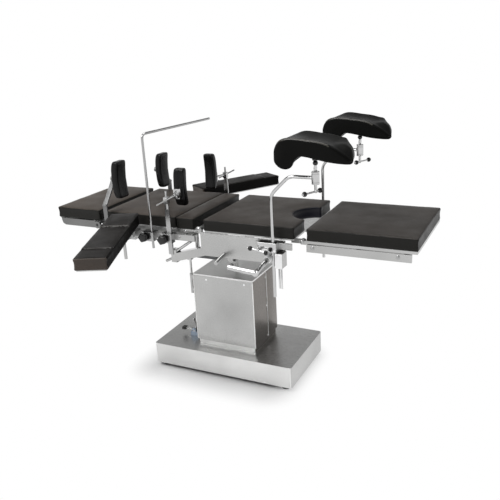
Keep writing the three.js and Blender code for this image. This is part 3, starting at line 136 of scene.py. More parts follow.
def steel(name, tone, rough, stretch, tint=(1.0, 1.0, 0.99), relief=0.12):
    """Brushed stainless steel: fine lines along one axis over slow changes of tone."""
    mat, nodes, links, bsdf = new_material(name)
    lines = grain(nodes, links, 60, stretch, 2)
    cloud = grain(nodes, links, 4, (1, 1, 1), 2)
    low = tuple(tone * 0.84 * t for t in tint) + (1,)
    high = tuple(min(tone * 1.1, 1) * t for t in tint) + (1,)
    links.new(ramp(nodes, links, cloud, low, high, 0.25, 0.75), bsdf.inputs["Base Color"])
    links.new(ramp(nodes, links, lines, grey(rough * 0.75), grey(rough * 1.3)),
              bsdf.inputs["Roughness"])
    bsdf.inputs["Metallic"].default_value = 1.0
    add_bump(nodes, links, bsdf, lines, 0.0004, relief)
    return mat


def chrome_metal(name, tone, rough):
    """Plated metal, faintly smeared."""
    mat, nodes, links, bsdf = new_material(name)
    smear = grain(nodes, links, 30, (1, 1, 0.3), 3)
    links.new(ramp(nodes, links, smear, grey(tone * 0.9), grey(min(tone * 1.05, 1))),
              bsdf.inputs["Base Color"])
    links.new(ramp(nodes, links, smear, grey(rough * 0.7), grey(rough * 1.5), 0.3, 0.75),
              bsdf.inputs["Roughness"])
    bsdf.inputs["Metallic"].default_value = 1.0
    add_bump(nodes, links, bsdf, smear, 0.0003, 0.05)
    return mat


def painted(name, color, rough, depth=0.12):
    """Paint, plastic or rubber with a fine orange-peel relief."""
    mat, nodes, links, bsdf = new_material(name)
    fine = grain(nodes, links, 900, (1, 1, 1), 2)
    patch = grain(nodes, links, 14, (1, 1, 1), 4)
    dark = tuple(c * 0.8 for c in color) + (1,)
    pale = tuple(min(c * 1.15, 1) for c in color) + (1,)
    links.new(ramp(nodes, links, patch, dark, pale), bsdf.inputs["Base Color"])
    links.new(ramp(nodes, links, patch, grey(rough * 0.85), grey(rough * 1.2)), bsdf.inputs["Roughness"])
    add_bump(nodes, links, bsdf, fine, 0.0005, depth)
    return mat


def vinyl(name, color, rough, spec, coat=0.0, pebble=650, head_end_tone=1.0):
    """Upholstery vinyl: a pebbled grain over slow undulation; the last argument is how many times lighter it
    grows towards the head end.
    """
    mat, nodes, links, bsdf = new_material(name)
    coords = nodes.new("ShaderNodeTexCoord")
    cells = nodes.new("ShaderNodeTexVoronoi")
    cells.feature = "DISTANCE_TO_EDGE"
    cells.inputs["Scale"].default_value = pebble
    links.new(coords.outputs["Object"], cells.inputs["Vector"])
    wave = grain(nodes, links, 9, (1, 1, 1), 3)
    patch = grain(nodes, links, 3.5, (1, 1, 1), 4)
    dark = tuple(c * 0.82 for c in color) + (1,)
    pale = tuple(min(c * 1.25, 1) for c in color) + (1,)
    tone = ramp(nodes, links, patch, dark, pale)
    if head_end_tone > 1.0:
        parts = nodes.new("ShaderNodeSeparateXYZ")
        links.new(coords.outputs["Object"], parts.inputs["Vector"])
        along = map_range(nodes, links, parts.outputs["X"], head_end_tone, 1.0, -0.9, 0.0)
        paler = nodes.new("ShaderNodeVectorMath")
        paler.operation = "SCALE"
        links.new(tone, paler.inputs[0])
        links.new(along, paler.inputs["Scale"])
        tone = paler.outputs["Vector"]
    links.new(tone, bsdf.inputs["Base Color"])
    links.new(ramp(nodes, links, wave, grey(rough * 0.88), grey(rough * 1.15)), bsdf.inputs["Roughness"])
    slow = add_bump(nodes, links, bsdf, wave, 0.004, 0.25)
    add_bump(nodes, links, bsdf, cells.outputs["Distance"], 0.0003, 0.35, slow)
    bsdf.inputs["Specular IOR Level"].default_value = spec
    bsdf.inputs["Coat Weight"].default_value = coat
    bsdf.inputs["Coat Roughness"].default_value = 0.12
    return mat


# How the grain is drawn out on steel brushed along each axis
ALONG_X, ALONG_Y, ALONG_Z = (1, 40, 40), (40, 1, 40), (40, 40, 1)
MAT = {
    "base": steel("base_steel", 0.74, 0.34, ALONG_X),
    "base_top": steel("base_top_steel", 0.74, 0.3, ALONG_X),
    # A darker copy of the base steel: painted shade on the base's end faces and the column head's cap
    "base_shade": steel("base_shade_steel", 0.5, 0.32, ALONG_Y),
    "column": steel("column_steel", 0.485, 0.3, ALONG_Z),
    # A darker, browner copy of the column steel: painted shade and reflection on the ends and side laps
    "column_shade": steel("column_shade_steel", 0.18, 0.3, ALONG_Z, (1.0, 0.92, 0.85)),
    # Near-white plated metal: bright chrome on screws and collar ribs, painted highlight on column corners
    # and gearbox front
    "bright": chrome_metal("bright_chrome_and_highlight", 0.95, 0.35),
    "panel": steel("panel_steel", 0.5, 0.28, ALONG_X),
    "tray": steel("head_tray_steel", 0.22, 0.34, ALONG_X),
    "rail": steel("rail_steel", 0.5, 0.3, ALONG_X, relief=0.03),
    "chrome": chrome_metal("polished_chrome", 0.58, 0.12),
    "satin": chrome_metal("satin_chrome", 0.44, 0.22),
    "dark": chrome_metal("blackened_steel", 0.07, 0.35),
    "casting": painted("casting_paint", (0.13, 0.135, 0.14), 0.45),
    "vinyl": vinyl("cushion_vinyl", (0.025, 0.02, 0.016), 0.48, 0.3, head_end_tone=2.3),
    # A darker copy of the cushion vinyl: painted shade on the cushions' sides and ends
    "vinyl_shade": vinyl("cushion_shade_vinyl", (0.0095, 0.009, 0.0075), 0.44, 0.2),
    "board": vinyl("arm_board_vinyl", (0.008, 0.0068, 0.006), 0.44, 0.13),
    # A lighter copy of the board vinyl: painted highlight on the raised edge before each cross seam
    "board_highlight": vinyl("arm_board_highlight_vinyl", (0.045, 0.042, 0.039), 0.4, 0.4),
    # A darker copy of the board vinyl: painted shade on the arm boards' long sides
    "board_shade": vinyl("arm_board_shade_vinyl", (0.005, 0.0046, 0.0042), 0.6, 0.06),
    # A lighter, browner copy of the board vinyl: painted light on the arm boards' end faces
    "board_lit_end": vinyl("arm_board_lit_end_vinyl", (0.06, 0.047, 0.038), 0.45, 0.32),
    # A darker, bluer copy of the cushion vinyl: painted shade on the walls of the seat's cut-out
    "cutout_shade": vinyl("cutout_shade_vinyl", (0.007, 0.007, 0.012), 0.38, 0.25),
    "gloss": vinyl("glossy_pad_vinyl", (0.003, 0.003, 0.003), 0.24, 0.2, 0.05, 900),
    "knee": vinyl("knee_pad_vinyl", (0.0036, 0.0036, 0.0032), 0.42, 0.07, 0.0, 800),
    # A lighter copy of the knee pad vinyl: painted highlight along the pads' rounded top edges
    "knee_highlight": vinyl("knee_pad_highlight_vinyl", (0.04, 0.037, 0.03), 0.3, 0.45, 0.0, 800),
    "bar": chrome_metal("support_bar_steel", 0.24, 0.55),
    "plastic": painted("black_plastic", (0.006, 0.006, 0.006), 0.3, 0.05),
    "rubber": painted("foot_rubber", (0.016, 0.016, 0.017), 0.7),
    # Near-white steel: painted highlights along the column's lap seams and upright corners
    "edge": steel("painted_highlight_steel", 1.0, 0.75, ALONG_Z),
    "blue": painted("pedal_bracket_paint", (0.3, 0.37, 0.46), 0.35),
}
# The record's body of each CAD node
BODY_OF = {node: body for body, nodes in frame["record"]["behaviour"]["bodies"].items() for node in nodes}
# The angle from which an edge of the metal is rounded
SHARP_ANGLE = math.radians(50)


# Pieces

def finish_piece(bm, name, body, mats, hides=(), angle=42, weighted=False):
    """Turns a bmesh into a piece that rides on a body and may stand for CAD nodes."""
    bmesh.ops.recalc_face_normals(bm, faces=bm.faces)
    mesh = bpy.data.meshes.new(name)
    bm.to_mesh(mesh)
    bm.free()
    for key in mats:
        mesh.materials.append(MAT[key])
    mesh.shade_smooth()
    mesh.set_sharp_from_angle(angle=math.radians(angle))
    obj = bpy.data.objects.new(name, mesh)
    bpy.context.scene.collection.objects.link(obj)
    if weighted:
        obj.modifiers.new("even_normals", "WEIGHTED_NORMAL").keep_sharp = True
    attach(obj, body)
    if hides:
        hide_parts(*hides)


def finish_look(bm, node, mats, angle=42, weighted=False):
    """A piece that stands for one CAD node and rides on its body."""
    finish_piece(bm, node + "_look", BODY_OF[node], mats, [node], angle, weighted)


def refined(node, mats, radius, pick=None):
    """A finer copy of a CAD node with rounded edges; pick gives a face's material."""
    bm = bmesh.new()
    bm.from_mesh(frame["nodes"][node].data)
    bmesh.ops.remove_doubles(bm, verts=bm.verts, dist=1e-5)
    bmesh.ops.dissolve_limit(bm, angle_limit=math.radians(0.6), verts=bm.verts, edges=bm.edges)
    sharp = [e for e in bm.edges if len(e.link_faces) == 2 and e.calc_face_angle(0) > SHARP_ANGLE
             and e.calc_length() > radius * SCALE * 3]
    bmesh.ops.bevel(bm, geom=sharp, offset=radius * SCALE, segments=2, profile=0.6, affect="EDGES",
                    clamp_overlap=True)
    if pick:
        for face in bm.faces:
            face.material_index = pick(face)
    finish_look(bm, node, mats, 50, weighted=True)


def ring_mesh(bm, rings, cap=True):
    """Joins rings of points in a row and closes its two ends if asked."""
    loops = [[bm.verts.new(p) for p in ring] for ring in rings]
    count = len(rings[0])
    for a, b in zip(loops, loops[1:]):
        for j in range(count):
            k = (j + 1) % count
            bm.faces.new((a[j], a[k], b[k], b[j]))
    if cap:
        bm.faces.new(loops[0][::-1])
        bm.faces.new(loops[-1])
    return loops


def axes_for(direction):
    """Two directions square to this one and to each other."""
    d = direction.normalized()
    helper = UP if abs(d.z) < 0.9 else Vector((1, 0, 0))
    side = d.cross(helper).normalized()
    return side, d.cross(side).normalized()


def turned(bm, start, direction, profile, sides=32, shape=None):
    """A body of revolution: profile gives (distance along, radius) in millimetres."""
    side, up = axes_for(direction)
    d = direction.normalized()
    rings = []
    for along, radius in profile:
        centre = start + d * (along * SCALE)
        ring = []
        for i in range(sides):
            a = 2 * math.pi * i / sides
            r = max(radius, 0.02) * (shape(a) if shape else 1.0) * SCALE
            ring.append(centre + side * (r * math.cos(a)) + up * (r * math.sin(a)))
        rings.append(ring)
    ring_mesh(bm, rings)


def stud(bm, a, b, radius):
    """A round bar between two points, with broken edges."""
    length = (b - a).length / SCALE
    edge = min(0.8, radius * 0.5, length * 0.4)
    turned(bm, a, b - a, [(0, radius - edge), (edge, radius), (length - edge, radius),
                          (length, radius - edge)], 28)


def swept(bm, corners, bend, radius, sides=20):
    """A rod along straight runs with round bends."""
    path = [corners[0]]
    for i in range(1, len(corners) - 1):
        into = (corners[i - 1] - corners[i]).normalized() * bend * SCALE
        out = (corners[i + 1] - corners[i]).normalized() * bend * SCALE
        a, c, b = corners[i] + into, corners[i], corners[i] + out
        for k in range(11):
            t = k / 10
            path.append(a * (1 - t) ** 2 + c * (2 * t * (1 - t)) + b * t * t)
    path.append(corners[-1])
    rings = []
    side, up = axes_for(path[1] - path[0])
    # Distance from a tip and share of the radius, so that the tips have broken edges
    first_tip, last_tip = [(0, 0.8), (1.0, 1.0)], [(-1.0, 1.0), (0, 0.8)]
    for i, point in enumerate(path):
        before, after = path[max(i - 1, 0)], path[min(i + 1, len(path) - 1)]
        tangent = (after - before).normalized()
        side = (side - tangent * side.dot(tangent)).normalized()
        up = tangent.cross(side)
        steps = first_tip if i == 0 else last_tip if i == len(path) - 1 else [(0, 1)]
        for push, share in steps:
            base = point + tangent * push * SCALE
            rings.append([base + (side * math.cos(2 * math.pi * j / sides)
                                  + up * math.sin(2 * math.pi * j / sides)) * radius * share * SCALE
                          for j in range(sides)])
    ring_mesh(bm, rings)


def sphere(bm, centre, radius):
    """A ball, its radius in millimetres."""
    bmesh.ops.create_uvsphere(bm, u_segments=24, v_segments=12, radius=radius * SCALE,
                              matrix=Matrix.Translation(centre))


def rounded_box(bm, a, b, bevel):
    """A box between two opposite corners (millimetres from the base's middle) with rounded edges."""
    size = [abs(length) for length in Vector(b) - Vector(a)]
    centre = place(*((Vector(a) + Vector(b)) / 2))
    made = bmesh.ops.create_cube(bm, size=1.0)["verts"]
    for v in made:
        v.co = Vector([c * length for c, length in zip(v.co, size)]) * SCALE
    edges = {e for v in made for e in v.link_edges}
    done = bmesh.ops.bevel(bm, geom=list(edges), offset=bevel * SCALE, segments=2, profile=0.7,
                           affect="EDGES", clamp_overlap=True)
    verts = {v for f in done["faces"] for v in f.verts}
    grown = set(verts)
    for v in verts:
        grown.update(w for f in v.link_faces for w in f.verts)
    for v in grown:
        v.co = v.co + centre


def paint(bm, start, index):
    """Gives every face made since start a material index."""
    bm.faces.ensure_lookup_table()
    for face in bm.faces[start:]:
        face.material_index = index


# Upholstery

def smooth(t):
    """0 below 0, 1 above 1 and an even rise between."""
    t = max(0.0, min(1.0, t))
    return t * t * (3 - 2 * t)


def power(value, exponent):
    """A power that keeps the sign."""
    return math.copysign(abs(value) ** exponent, value)


def rectangle(half_x, half_y, corner, bow, step=9.0):
    """Dense outline of a rectangle whose sides bow inwards between round corners."""
    points = []
    for side in range(4):
        turn = side * math.pi / 2
        along, out = (half_y, half_x) if side % 2 == 0 else (half_x, half_y)
        count = max(8, int(2 * (along - corner) / step))
        for i in range(count + 1):
            s = 2 * i / count - 1
            p = Vector((out - bow * (1 - s * s), s * (along - corner)))
            points.append(Matrix.Rotation(turn, 2) @ p)
        for i in range(1, 6):
            a = math.pi / 2 * i / 6
            p = Vector((out - corner + corner * math.cos(a), along - corner + corner * math.sin(a)))
            points.append(Matrix.Rotation(turn, 2) @ p)
    return points


def with_cutout(points, half_x, depth, half, step=7.0):
    """Cuts a half ellipse out of the outline's +X side."""
    kept = [p for p in points if not (p.x > 0 and abs(p.y) < half + 9 and p.x > half_x - 40)]
    start = max(range(len(kept)), key=lambda i: (kept[i] - kept[i - 1]).length)
    kept = kept[start:] + kept[:start]
    x_end = kept[-1].x
    arc = []
    count = int(math.pi * (depth + half) / 2 / step)
    lip = 8.0
    for i in range(count + 1):
        a = math.pi * (0.5 + i / count)
        arc.append(Vector((half_x + depth * math.cos(a), -half * power(math.sin(a), 1.3))))
    arc = [p for p in arc if p.x < half_x - lip]
    corner_in = [Vector((x_end, -half - lip)), Vector((x_end - 1.6, -half - lip * 0.35)),
                 Vector((half_x - lip * 0.9, -half))]
    corner_out = [Vector((p.x, -p.y)) for p in reversed(corner_in)]
    return kept + corner_in + arc + corner_out


def inset(points, amount):
    """Moves a counter-clockwise outline inwards."""
    result = []
    count = len(points)
    for i, p in enumerate(points):
        along = (points[(i + 1) % count] - points[i - 1]).normalized()
        result.append(p + Vector((-along.y, along.x)) * amount)
    return result


def inside(point, outline):
    """Whether a flat outline holds a point."""
    hit = False
    for i in range(len(outline)):
        a, b = outline[i], outline[i - 1]
        if (a.y > point.y) != (b.y > point.y):
            if point.x < (b.x - a.x) * (point.y - a.y) / (b.y - a.y) + a.x:
                hit = not hit
    return hit


def filled(bm, loop, rim, spacing, put, fine=None):
    """Closes a ring with an even net: rim is its flat outline, put places each new point."""
    points = [p.copy() for p in rim]
    edges = [(i, (i + 1) % len(rim)) for i in range(len(rim))]
    guard = inset(rim, spacing * 0.55)
    x, x_end = min(p.x for p in rim) + spacing, max(p.x for p in rim)
    y_start, y_end = min(p.y for p in rim), max(p.y for p in rim)
    while x < x_end:
        y = y_start + spacing
        while y < y_end:
            p = Vector((x, y))
            if inside(p, guard):
                points.append(p)
            y += spacing
        x += fine(x) if fine else spacing
    flat, _, faces, origin, _, _ = delaunay_2d_cdt(points, edges, [], 1, 1e-4)
    verts = []
    for p, source in zip(flat, origin):
        index = next((k for k in source if k < len(rim)), None)
        verts.append(loop[index] if index is not None else bm.verts.new(put(p)))
    for face in faces:
        corners = [verts[i] for i in face]
        if len(set(corners)) == len(corners) and bm.faces.get(corners) is None:
            bm.faces.new(corners)


# Width and depth of a cross seam, how far its arc runs out, and the run of a step beside it
SEAM_WIDTH, SEAM_DEPTH, SEAM_ARC, STEP_RUN = 2.6, 4.5, 7.0, 4.5


def cushion(name, node, outline, height, crown, matrix, mats, seed, seams=(), cut=None, spacing=16.0,
            step=0.0):
    """A vinyl cushion: flat under, drawn-in sides, a sewn seam round the top panel and a crown.

    seams are the places of seams across it, step raises the panel before the first one and lowers the
    one behind the last, and cut is the depth and half width of a half-round cut-out at its +X end.
    """
    half_x = max(abs(p.x) for p in outline)
    half_y = max(abs(p.y) for p in outline)
    bm = bmesh.new()
    # How far each ring lies inside the outline, and its height
    levels = [(7, 0), (2.2, 0.8), (0.3, 5), (1.6, height * 0.25), (2.6, height * 0.48), (1.9, height * 0.7),
              (0.2, height - 8.5), (0.1, height - 5), (1.1, height - 1.9), (2.9, height - 0.3),
              (4.2, height - 0.4), (5.0, height - 2.0), (5.8, height - 0.5), (8.0, height + 0.2)]

    def lift(x, y):
        """Height of the crown, which falls away towards the edges and the cut-out."""
        u, v = min(abs(x) / half_x, 1), min(abs(y) / half_y, 1)
        value = crown * (1 - u ** 6) * (1 - v ** 4)
        if cut:
            depth, half = cut
            e = math.hypot((x - half_x) / depth, y / half) - 1
            value *= smooth(e * 1.1 + 0.05)
        return value

    def curved(x, y):
        """The mean place of the shallow arc through x and y; a cross seam follows such an arc."""
        return x - SEAM_ARC * (1 - min(abs(y) / half_y, 1) ** 2) + SEAM_ARC / 2

    def seam_at(x, y):
        """1 on a cross seam, falling to 0 beside it."""
        return max((math.exp(-((curved(x, y) - s) / SEAM_WIDTH) ** 2) for s in seams), default=0.0)

    def raised(x, y):
        """Height of the panels' steps beside the cross seams."""
        if not step:
            return 0.0
        at = curved(x, y)
        return step * (smooth((seams[0] - at) / STEP_RUN) - 0.7 * smooth((at - seams[1]) / STEP_RUN))

    def moved(p, z):
        """Sets a point of the plain cushion in its place, with seams, steps and slow unevenness."""
        q = Vector((p.x * 0.017 + seed, p.y * 0.017, z * 0.03))
        wave = noise.noise(q) * 0.9 + noise.noise(q * 3.1) * 0.35
        pull = seam_at(p.x, p.y)
        top = smooth((z - height * 0.3) / (height * 0.5))
        uneven = wave * 0.7 * top if z > height * 0.6 else 0
        z2 = z + uneven - SEAM_DEPTH * pull * top + raised(p.x, p.y) * top
        squeeze = 1 - (2.6 * pull + 0.25 * wave * (0.2 < z / height < 0.92)) / max(half_y, 1)
        return matrix @ (Vector((p.x, p.y * squeeze, z2)) * SCALE)

    rings = []
    for amount, z in levels:
        rim = inset(outline, amount)
        crowned = smooth((z - height * 0.85) / (height * 0.15))
        rings.append([moved(p, z + lift(p.x, p.y) * crowned) for p in rim])
    loops = ring_mesh(bm, rings, cap=False)
    bm.faces.new(loops[0][::-1])
    z_top = levels[-1][1]
    filled(bm, loops[-1], rim, spacing, lambda p: moved(p, z_top + lift(p.x, p.y)),
           lambda x: 3.4 if seams and min(abs(x - s) for s in seams) < 15 else spacing)
    inverse = matrix.inverted()
    for face in bm.faces:
        centre = inverse @ face.calc_center_median() / SCALE
        # Arm boards: painted light on the ends, painted shade on the sides, a painted highlight before each
        # seam
        if step:
            at = curved(centre.x, centre.y)
            behind = min((s - at for s in seams if s > at), default=99.0)
            seam_highlight = centre.z > height * 0.8 and 2.0 < behind < 8.0 and abs(centre.y) < half_y - 2
            at_end = centre.z < height - 1.0 and abs(centre.x) > half_x - 6
            aside = centre.z < height - 3.0 and abs(centre.y) > half_y - 6
            face.material_index = 1 if at_end else 2 if aside else 3 if seam_highlight else 0
        # Cushions: painted shade on the sides and ends, darker still on the walls of the cut-out
        elif centre.z < height - 1.0:
            near_cut = cut and math.hypot((centre.x - half_x) / cut[0], centre.y / cut[1]) < 1.3
            face.material_index = 2 if near_cut else 1
    finish_piece(bm, name, BODY_OF[node], mats, [node], 60)


def flat_place(x, y, z, turn=0.0):
    """A level frame at a place, turned about the vertical."""
    return Matrix.Translation(place(x, y, z)) @ Matrix.Rotation(math.radians(turn), 4, "Z")


# Height of the table top, the cushions' thickness, half width, corner radius, hollow of the sides and
# crown, and the two ends of each along X
TOP_Z, THICK, HALF = 864, 54, 250
CORNER, BOW, CROWN = 9, 1.6, 4.6
SPANS = {"head": (-905, -629), "back": (-593, -171), "kidney": (-167, -72), "seat": (-18, 444),
         "leg": (501, 987)}
# Depth and half width of the seat's cut-out
CUTOUT = (98, 106)
for index, (name, (x0, x1)) in enumerate(SPANS.items()):
    half_x = (x1 - x0) / 2
    outline = rectangle(half_x, HALF, CORNER, BOW)
    cut = CUTOUT if name == "seat" else None
    if cut:
        outline = with_cutout(outline, half_x, *cut)
    cushion(name + "_mattress", name + "_cushion", outline, THICK, CROWN,
            flat_place((x0 + x1) / 2, 0, TOP_Z - THICK), ["vinyl", "vinyl_shade", "cutout_shade"],
            seed=index * 7.3, cut=cut)

# Pivot, heading, length and seed of each arm board; then their underside, reach behind the pivot, half
# width, hollow of the sides, crown and step, and the seams' places as shares of the length
BOARD = {"front": (-403, -362, -66.2, 636, 17.0), "rear": (-325, 362, 57.8, 515, 31.0)}
BOARD_UNDER, BOARD_BEHIND, BOARD_HALF = 818, 76, 70
BOARD_BOW, BOARD_CROWN, BOARD_STEP = 1.0, 2.5, 4.6
SEAM_SHARES = (-0.16, 0.32)
for side, (px, py, angle, length, seed) in BOARD.items():
    middle = Matrix.Translation(Vector((length / 2 - BOARD_BEHIND, 0, 0)) * SCALE)
    outline = rectangle(length / 2, BOARD_HALF, CORNER, BOARD_BOW, 7)
    cushion(f"arm_pad_{side}", f"arm_cushion_{side}", outline, THICK, BOARD_CROWN,
            flat_place(px, py, BOARD_UNDER, angle) @ middle,
            ["board", "board_lit_end", "board_shade", "board_highlight"], seed=seed,
            seams=[share * length for share in SEAM_SHARES], spacing=10, step=BOARD_STEP)


# Height of the shoulder and body pads, how far they bend, and the width and depth of each kind
PAD_HEIGHT, PAD_SAG = 186, 12
SHOULDER_PAD, BODY_PAD = (84, 40), (62, 36)


def pad(node, width, depth, turn):
    """An upright moulded pad with a rounded rectangular section, slightly bent along its height."""
    low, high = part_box(node)
    centre = (low + high) / 2
    bm = bmesh.new()
    rings = []
    count, sides = 40, 48
    rotation = Matrix.Rotation(math.radians(turn), 4, "Z")
    for i in range(count + 1):
        s = -1 + 2 * i / count
        angle = s * math.pi / 2
        z = power(math.sin(angle), 0.25) * PAD_HEIGHT / 2
        shrink = max(abs(math.cos(angle)) ** 0.25, 0.02) if abs(s) < 0.999 else 0.02
        ring = []
        for j in range(sides):
            a = 2 * math.pi * j / sides
            b = power(math.cos(a), 0.5) * depth / 2 * shrink
            w = power(math.sin(a), 0.38) * width / 2 * shrink
            seam = 0.8 * math.exp(-((b + depth * 0.22) / 1.3) ** 2)
            w -= math.copysign(seam, w) if abs(w) > width * 0.3 else 0
            bend = PAD_SAG * (4 * (z / PAD_HEIGHT) ** 2 - 0.5)
            ring.append(centre + rotation @ (Vector((b + bend, w, z)) * SCALE))
        rings.append(ring)
    ring_mesh(bm, rings)
    finish_look(bm, node, ["gloss"], 60)


for side, facing in (("front", 90), ("rear", -90)):
    pad(f"shoulder_pad_{side}", *SHOULDER_PAD, 0)
    pad(f"body_pad_{side}", *BODY_PAD, facing)


# Knee pads

# A knee pad's side view, as shares of its length and height, and the ball's share of the length
KNEE_SHARES = [
    (0.0, 0.52), (0.018, 0.68), (0.062, 0.83), (0.125, 0.935), (0.21, 0.99), (0.33, 0.985), (0.46, 0.95),
    (0.58, 0.92), (0.69, 0.87), (0.79, 0.8), (0.88, 0.7), (0.95, 0.58), (0.99, 0.46), (1.0, 0.36),
    (0.985, 0.28), (0.95, 0.245), (0.86, 0.25), (0.7, 0.285), (0.6, 0.325), (0.5, 0.375), (0.4, 0.415),
    (0.345, 0.4), (0.305, 0.33), (0.28, 0.23), (0.262, 0.12), (0.23, 0.035), (0.17, 0.0), (0.095, 0.045),
    (0.035, 0.19), (0.006, 0.36),
]
BALL_SHARE = 0.452
# Rod, head and rise of each knee crutch, how far its pad sits back from the ball and below it, and the
# slide of its handle's bar
CRUTCH = {"front": (358, 564, 0, 0, 12.0, -20), "rear": (391, 584, 13, -12, 21.0, 20)}
# Distance of the rods and posts in the rail clamps from the middle, and heights on a knee crutch: its
# rod's lower end and bend, its sleeve, arm and ball
POST_Y = 284.3
ROD_LOW, ROD_BEND, SLEEVE_Z, ARM_Z, BALL_Z = 539, 1020, 1076, 1104, 1166


def closed_spline(points, steps):
    """A smooth closed line through the points."""
    result = []
    count = len(points)
    for i in range(count):
        p = [Vector(points[(i + k - 1) % count]) for k in range(4)]
        square = 2 * p[0] - 5 * p[1] + 4 * p[2] - p[3]
        cube = 3 * p[1] - p[0] - 3 * p[2] + p[3]
        for j in range(steps):
            t = j / steps
            result.append(0.5 * ((2 * p[1]) + (p[2] - p[0]) * t + square * t * t + cube * t ** 3))
    return result


def knee_pad(side):
    """A knee pad: its side view carried across, with a dished top and drawn-in ends."""
    node = f"crutch_pad_{side}"
    s = -1 if side == "front" else 1
    length, height, width, edge = 325, 127, 190, 13
    _, head_x, rise, shift, drop, _ = CRUTCH[side]
    ball = Vector((head_x, s * POST_Y, BALL_Z + rise))
    outline = [Vector(((p.x - BALL_SHARE) * length, p.y * height)) for p in closed_spline(KNEE_SHARES, 5)]
    bm = bmesh.new()

    def put(point, across, push=0.0):
        """Place of a point of the side view, across from -1 at the near side to 1 at the far one."""
        along, up = point.x / length + BALL_SHARE, point.y / height
        top = smooth((up - (0.5 if along < 0.4 else 0.34)) / 0.3)
        dip = 11.0 * (1 - across * across) * top * smooth(along / 0.25) * smooth((1.04 - along) / 0.3)
        blunt = smooth((along - 0.68) / 0.32)
        far, near = max(across, 0.0), max(-across, 0.0)
        end = smooth((along - 0.72) / 0.28)
        sag = 22.0 * near * near * blunt * smooth((up - 0.3) / 0.25) + 5.0 * smooth((along - 0.55) / 0.45)
        lift = 4.0 * smooth((up - 0.6) / 0.3) + 4.0 * far * far * (1 - smooth(along / 0.6))
        narrow = 1 - 0.16 * blunt ** 2 - 0.1 * (1 - smooth(along / 0.2)) ** 2
        hook = smooth((0.36 - along) / 0.06) * smooth((0.48 - up) / 0.3)
        y = (across * width / 2 + math.copysign(push, across)) * narrow
        y = (y + width / 2) * (1 - 0.92 * hook) - width / 2
        back = (8.0 * (1 - near) + 34.0 * far ** 1.5 - 12.0 * near) * end
        back -= 22.0 * far * far * (1 - smooth(along / 0.5)) * (1 - hook)
        lift += (17.0 * smooth((along - 0.7) / 0.22) * smooth((up - 0.25) / 0.3)
                 * smooth((across + 0.9) / 0.8))
        reach = shift - 5.0 + point.x - back
        return (ball + Vector((reach, y, point.y - drop - dip - sag + lift)) + BASE) * SCALE

    rings = []
    layers = 40
    for k in range(layers + 1):
        share = -1 + 2 * k / layers
        across = power(math.sin(share * math.pi / 2), 0.8)
        gap = (1 - abs(across)) * width / 2
        pull = edge - math.sqrt(max(edge ** 2 - (edge - min(gap, edge)) ** 2, 0)) if gap < edge else 0.0
        line = inset(outline[::-1], pull)[::-1] if pull else outline
        rings.append((line, across))
    loops = ring_mesh(bm, [[put(p, across) for p in line] for line, across in rings], cap=False)
    bulge, run = 2.4, 40.0
    for (line, across), loop in ((rings[0], loops[0]), (rings[-1], loops[-1])):
        filled(bm, loop[::-1], line[::-1], 11.0,
               lambda p: put(p, across, bulge * smooth(min((p - q).length for q in line) / run)))
    bmesh.ops.recalc_face_normals(bm, faces=bm.faces)
    # Faces of the rounded top edges take the lighter vinyl: a painted highlight
    for face in bm.faces:
        slant = abs(face.normal.y)
        reach = face.calc_center_median().x / SCALE - BASE.x - head_x
        face.material_index = int(0.45 < slant < 0.9 and face.normal.z > 0.4 and reach < 88)
    finish_look(bm, node, ["knee", "knee_highlight"], 60)
    bm = bmesh.new()
    foot = place(*ball)
    turned(bm, foot + Vector((0, 0, 11.4 * SCALE)), UP,
           [(0, 12), (0.8, 13), (9, 13), (9.6, 20), (11, 21), (30, 21)], 28)
    finish_piece(bm, f"crutch_pad_foot_{side}", BODY_OF[node], ["dark"])


for side in ("front", "rear"):
    knee_pad(side)


# Rods, handles and knobs

# Radii of a T-handle's shaft, knuckle, cross bar and balls
SHAFT_RADIUS, KNUCKLE_RADIUS, BAR_RADIUS, BALL_RADIUS = 6, 7.5, 4, 11


def t_bar(bm, shaft, centre, tips):
    """A cross bar with black balls and bright end caps on a shaft; faces 0 are metal, 1 are plastic."""
    stud(bm, *shaft, SHAFT_RADIUS)
    sphere(bm, centre, KNUCKLE_RADIUS)
    stud(bm, *tips, BAR_RADIUS)
    for tip in tips:
        start = len(bm.faces)
        sphere(bm, tip, BALL_RADIUS)
        paint(bm, start, 1)
        out = (tip - centre).normalized()
        start = len(bm.faces)
        turned(bm, ahead(tip, out, BALL_RADIUS - 1.2), out, [(0, 5.4), (1.6, 5.2), (2.2, 4.0)], 20)
        paint(bm, start, 0)


# A knee crutch's rod: its radius, its bends' radius and the length of its slanting run along X
ROD_RADIUS, ROD_CURVE, ROD_RUN = 7.5, 24, 86
# Its handle: how far it hangs below the sleeve and reaches into it, half its bar and its heading
HANDLE_DROP, HANDLE_INTO, HANDLE_HALF, HANDLE_TURN = 30, 5, 45, math.radians(65)
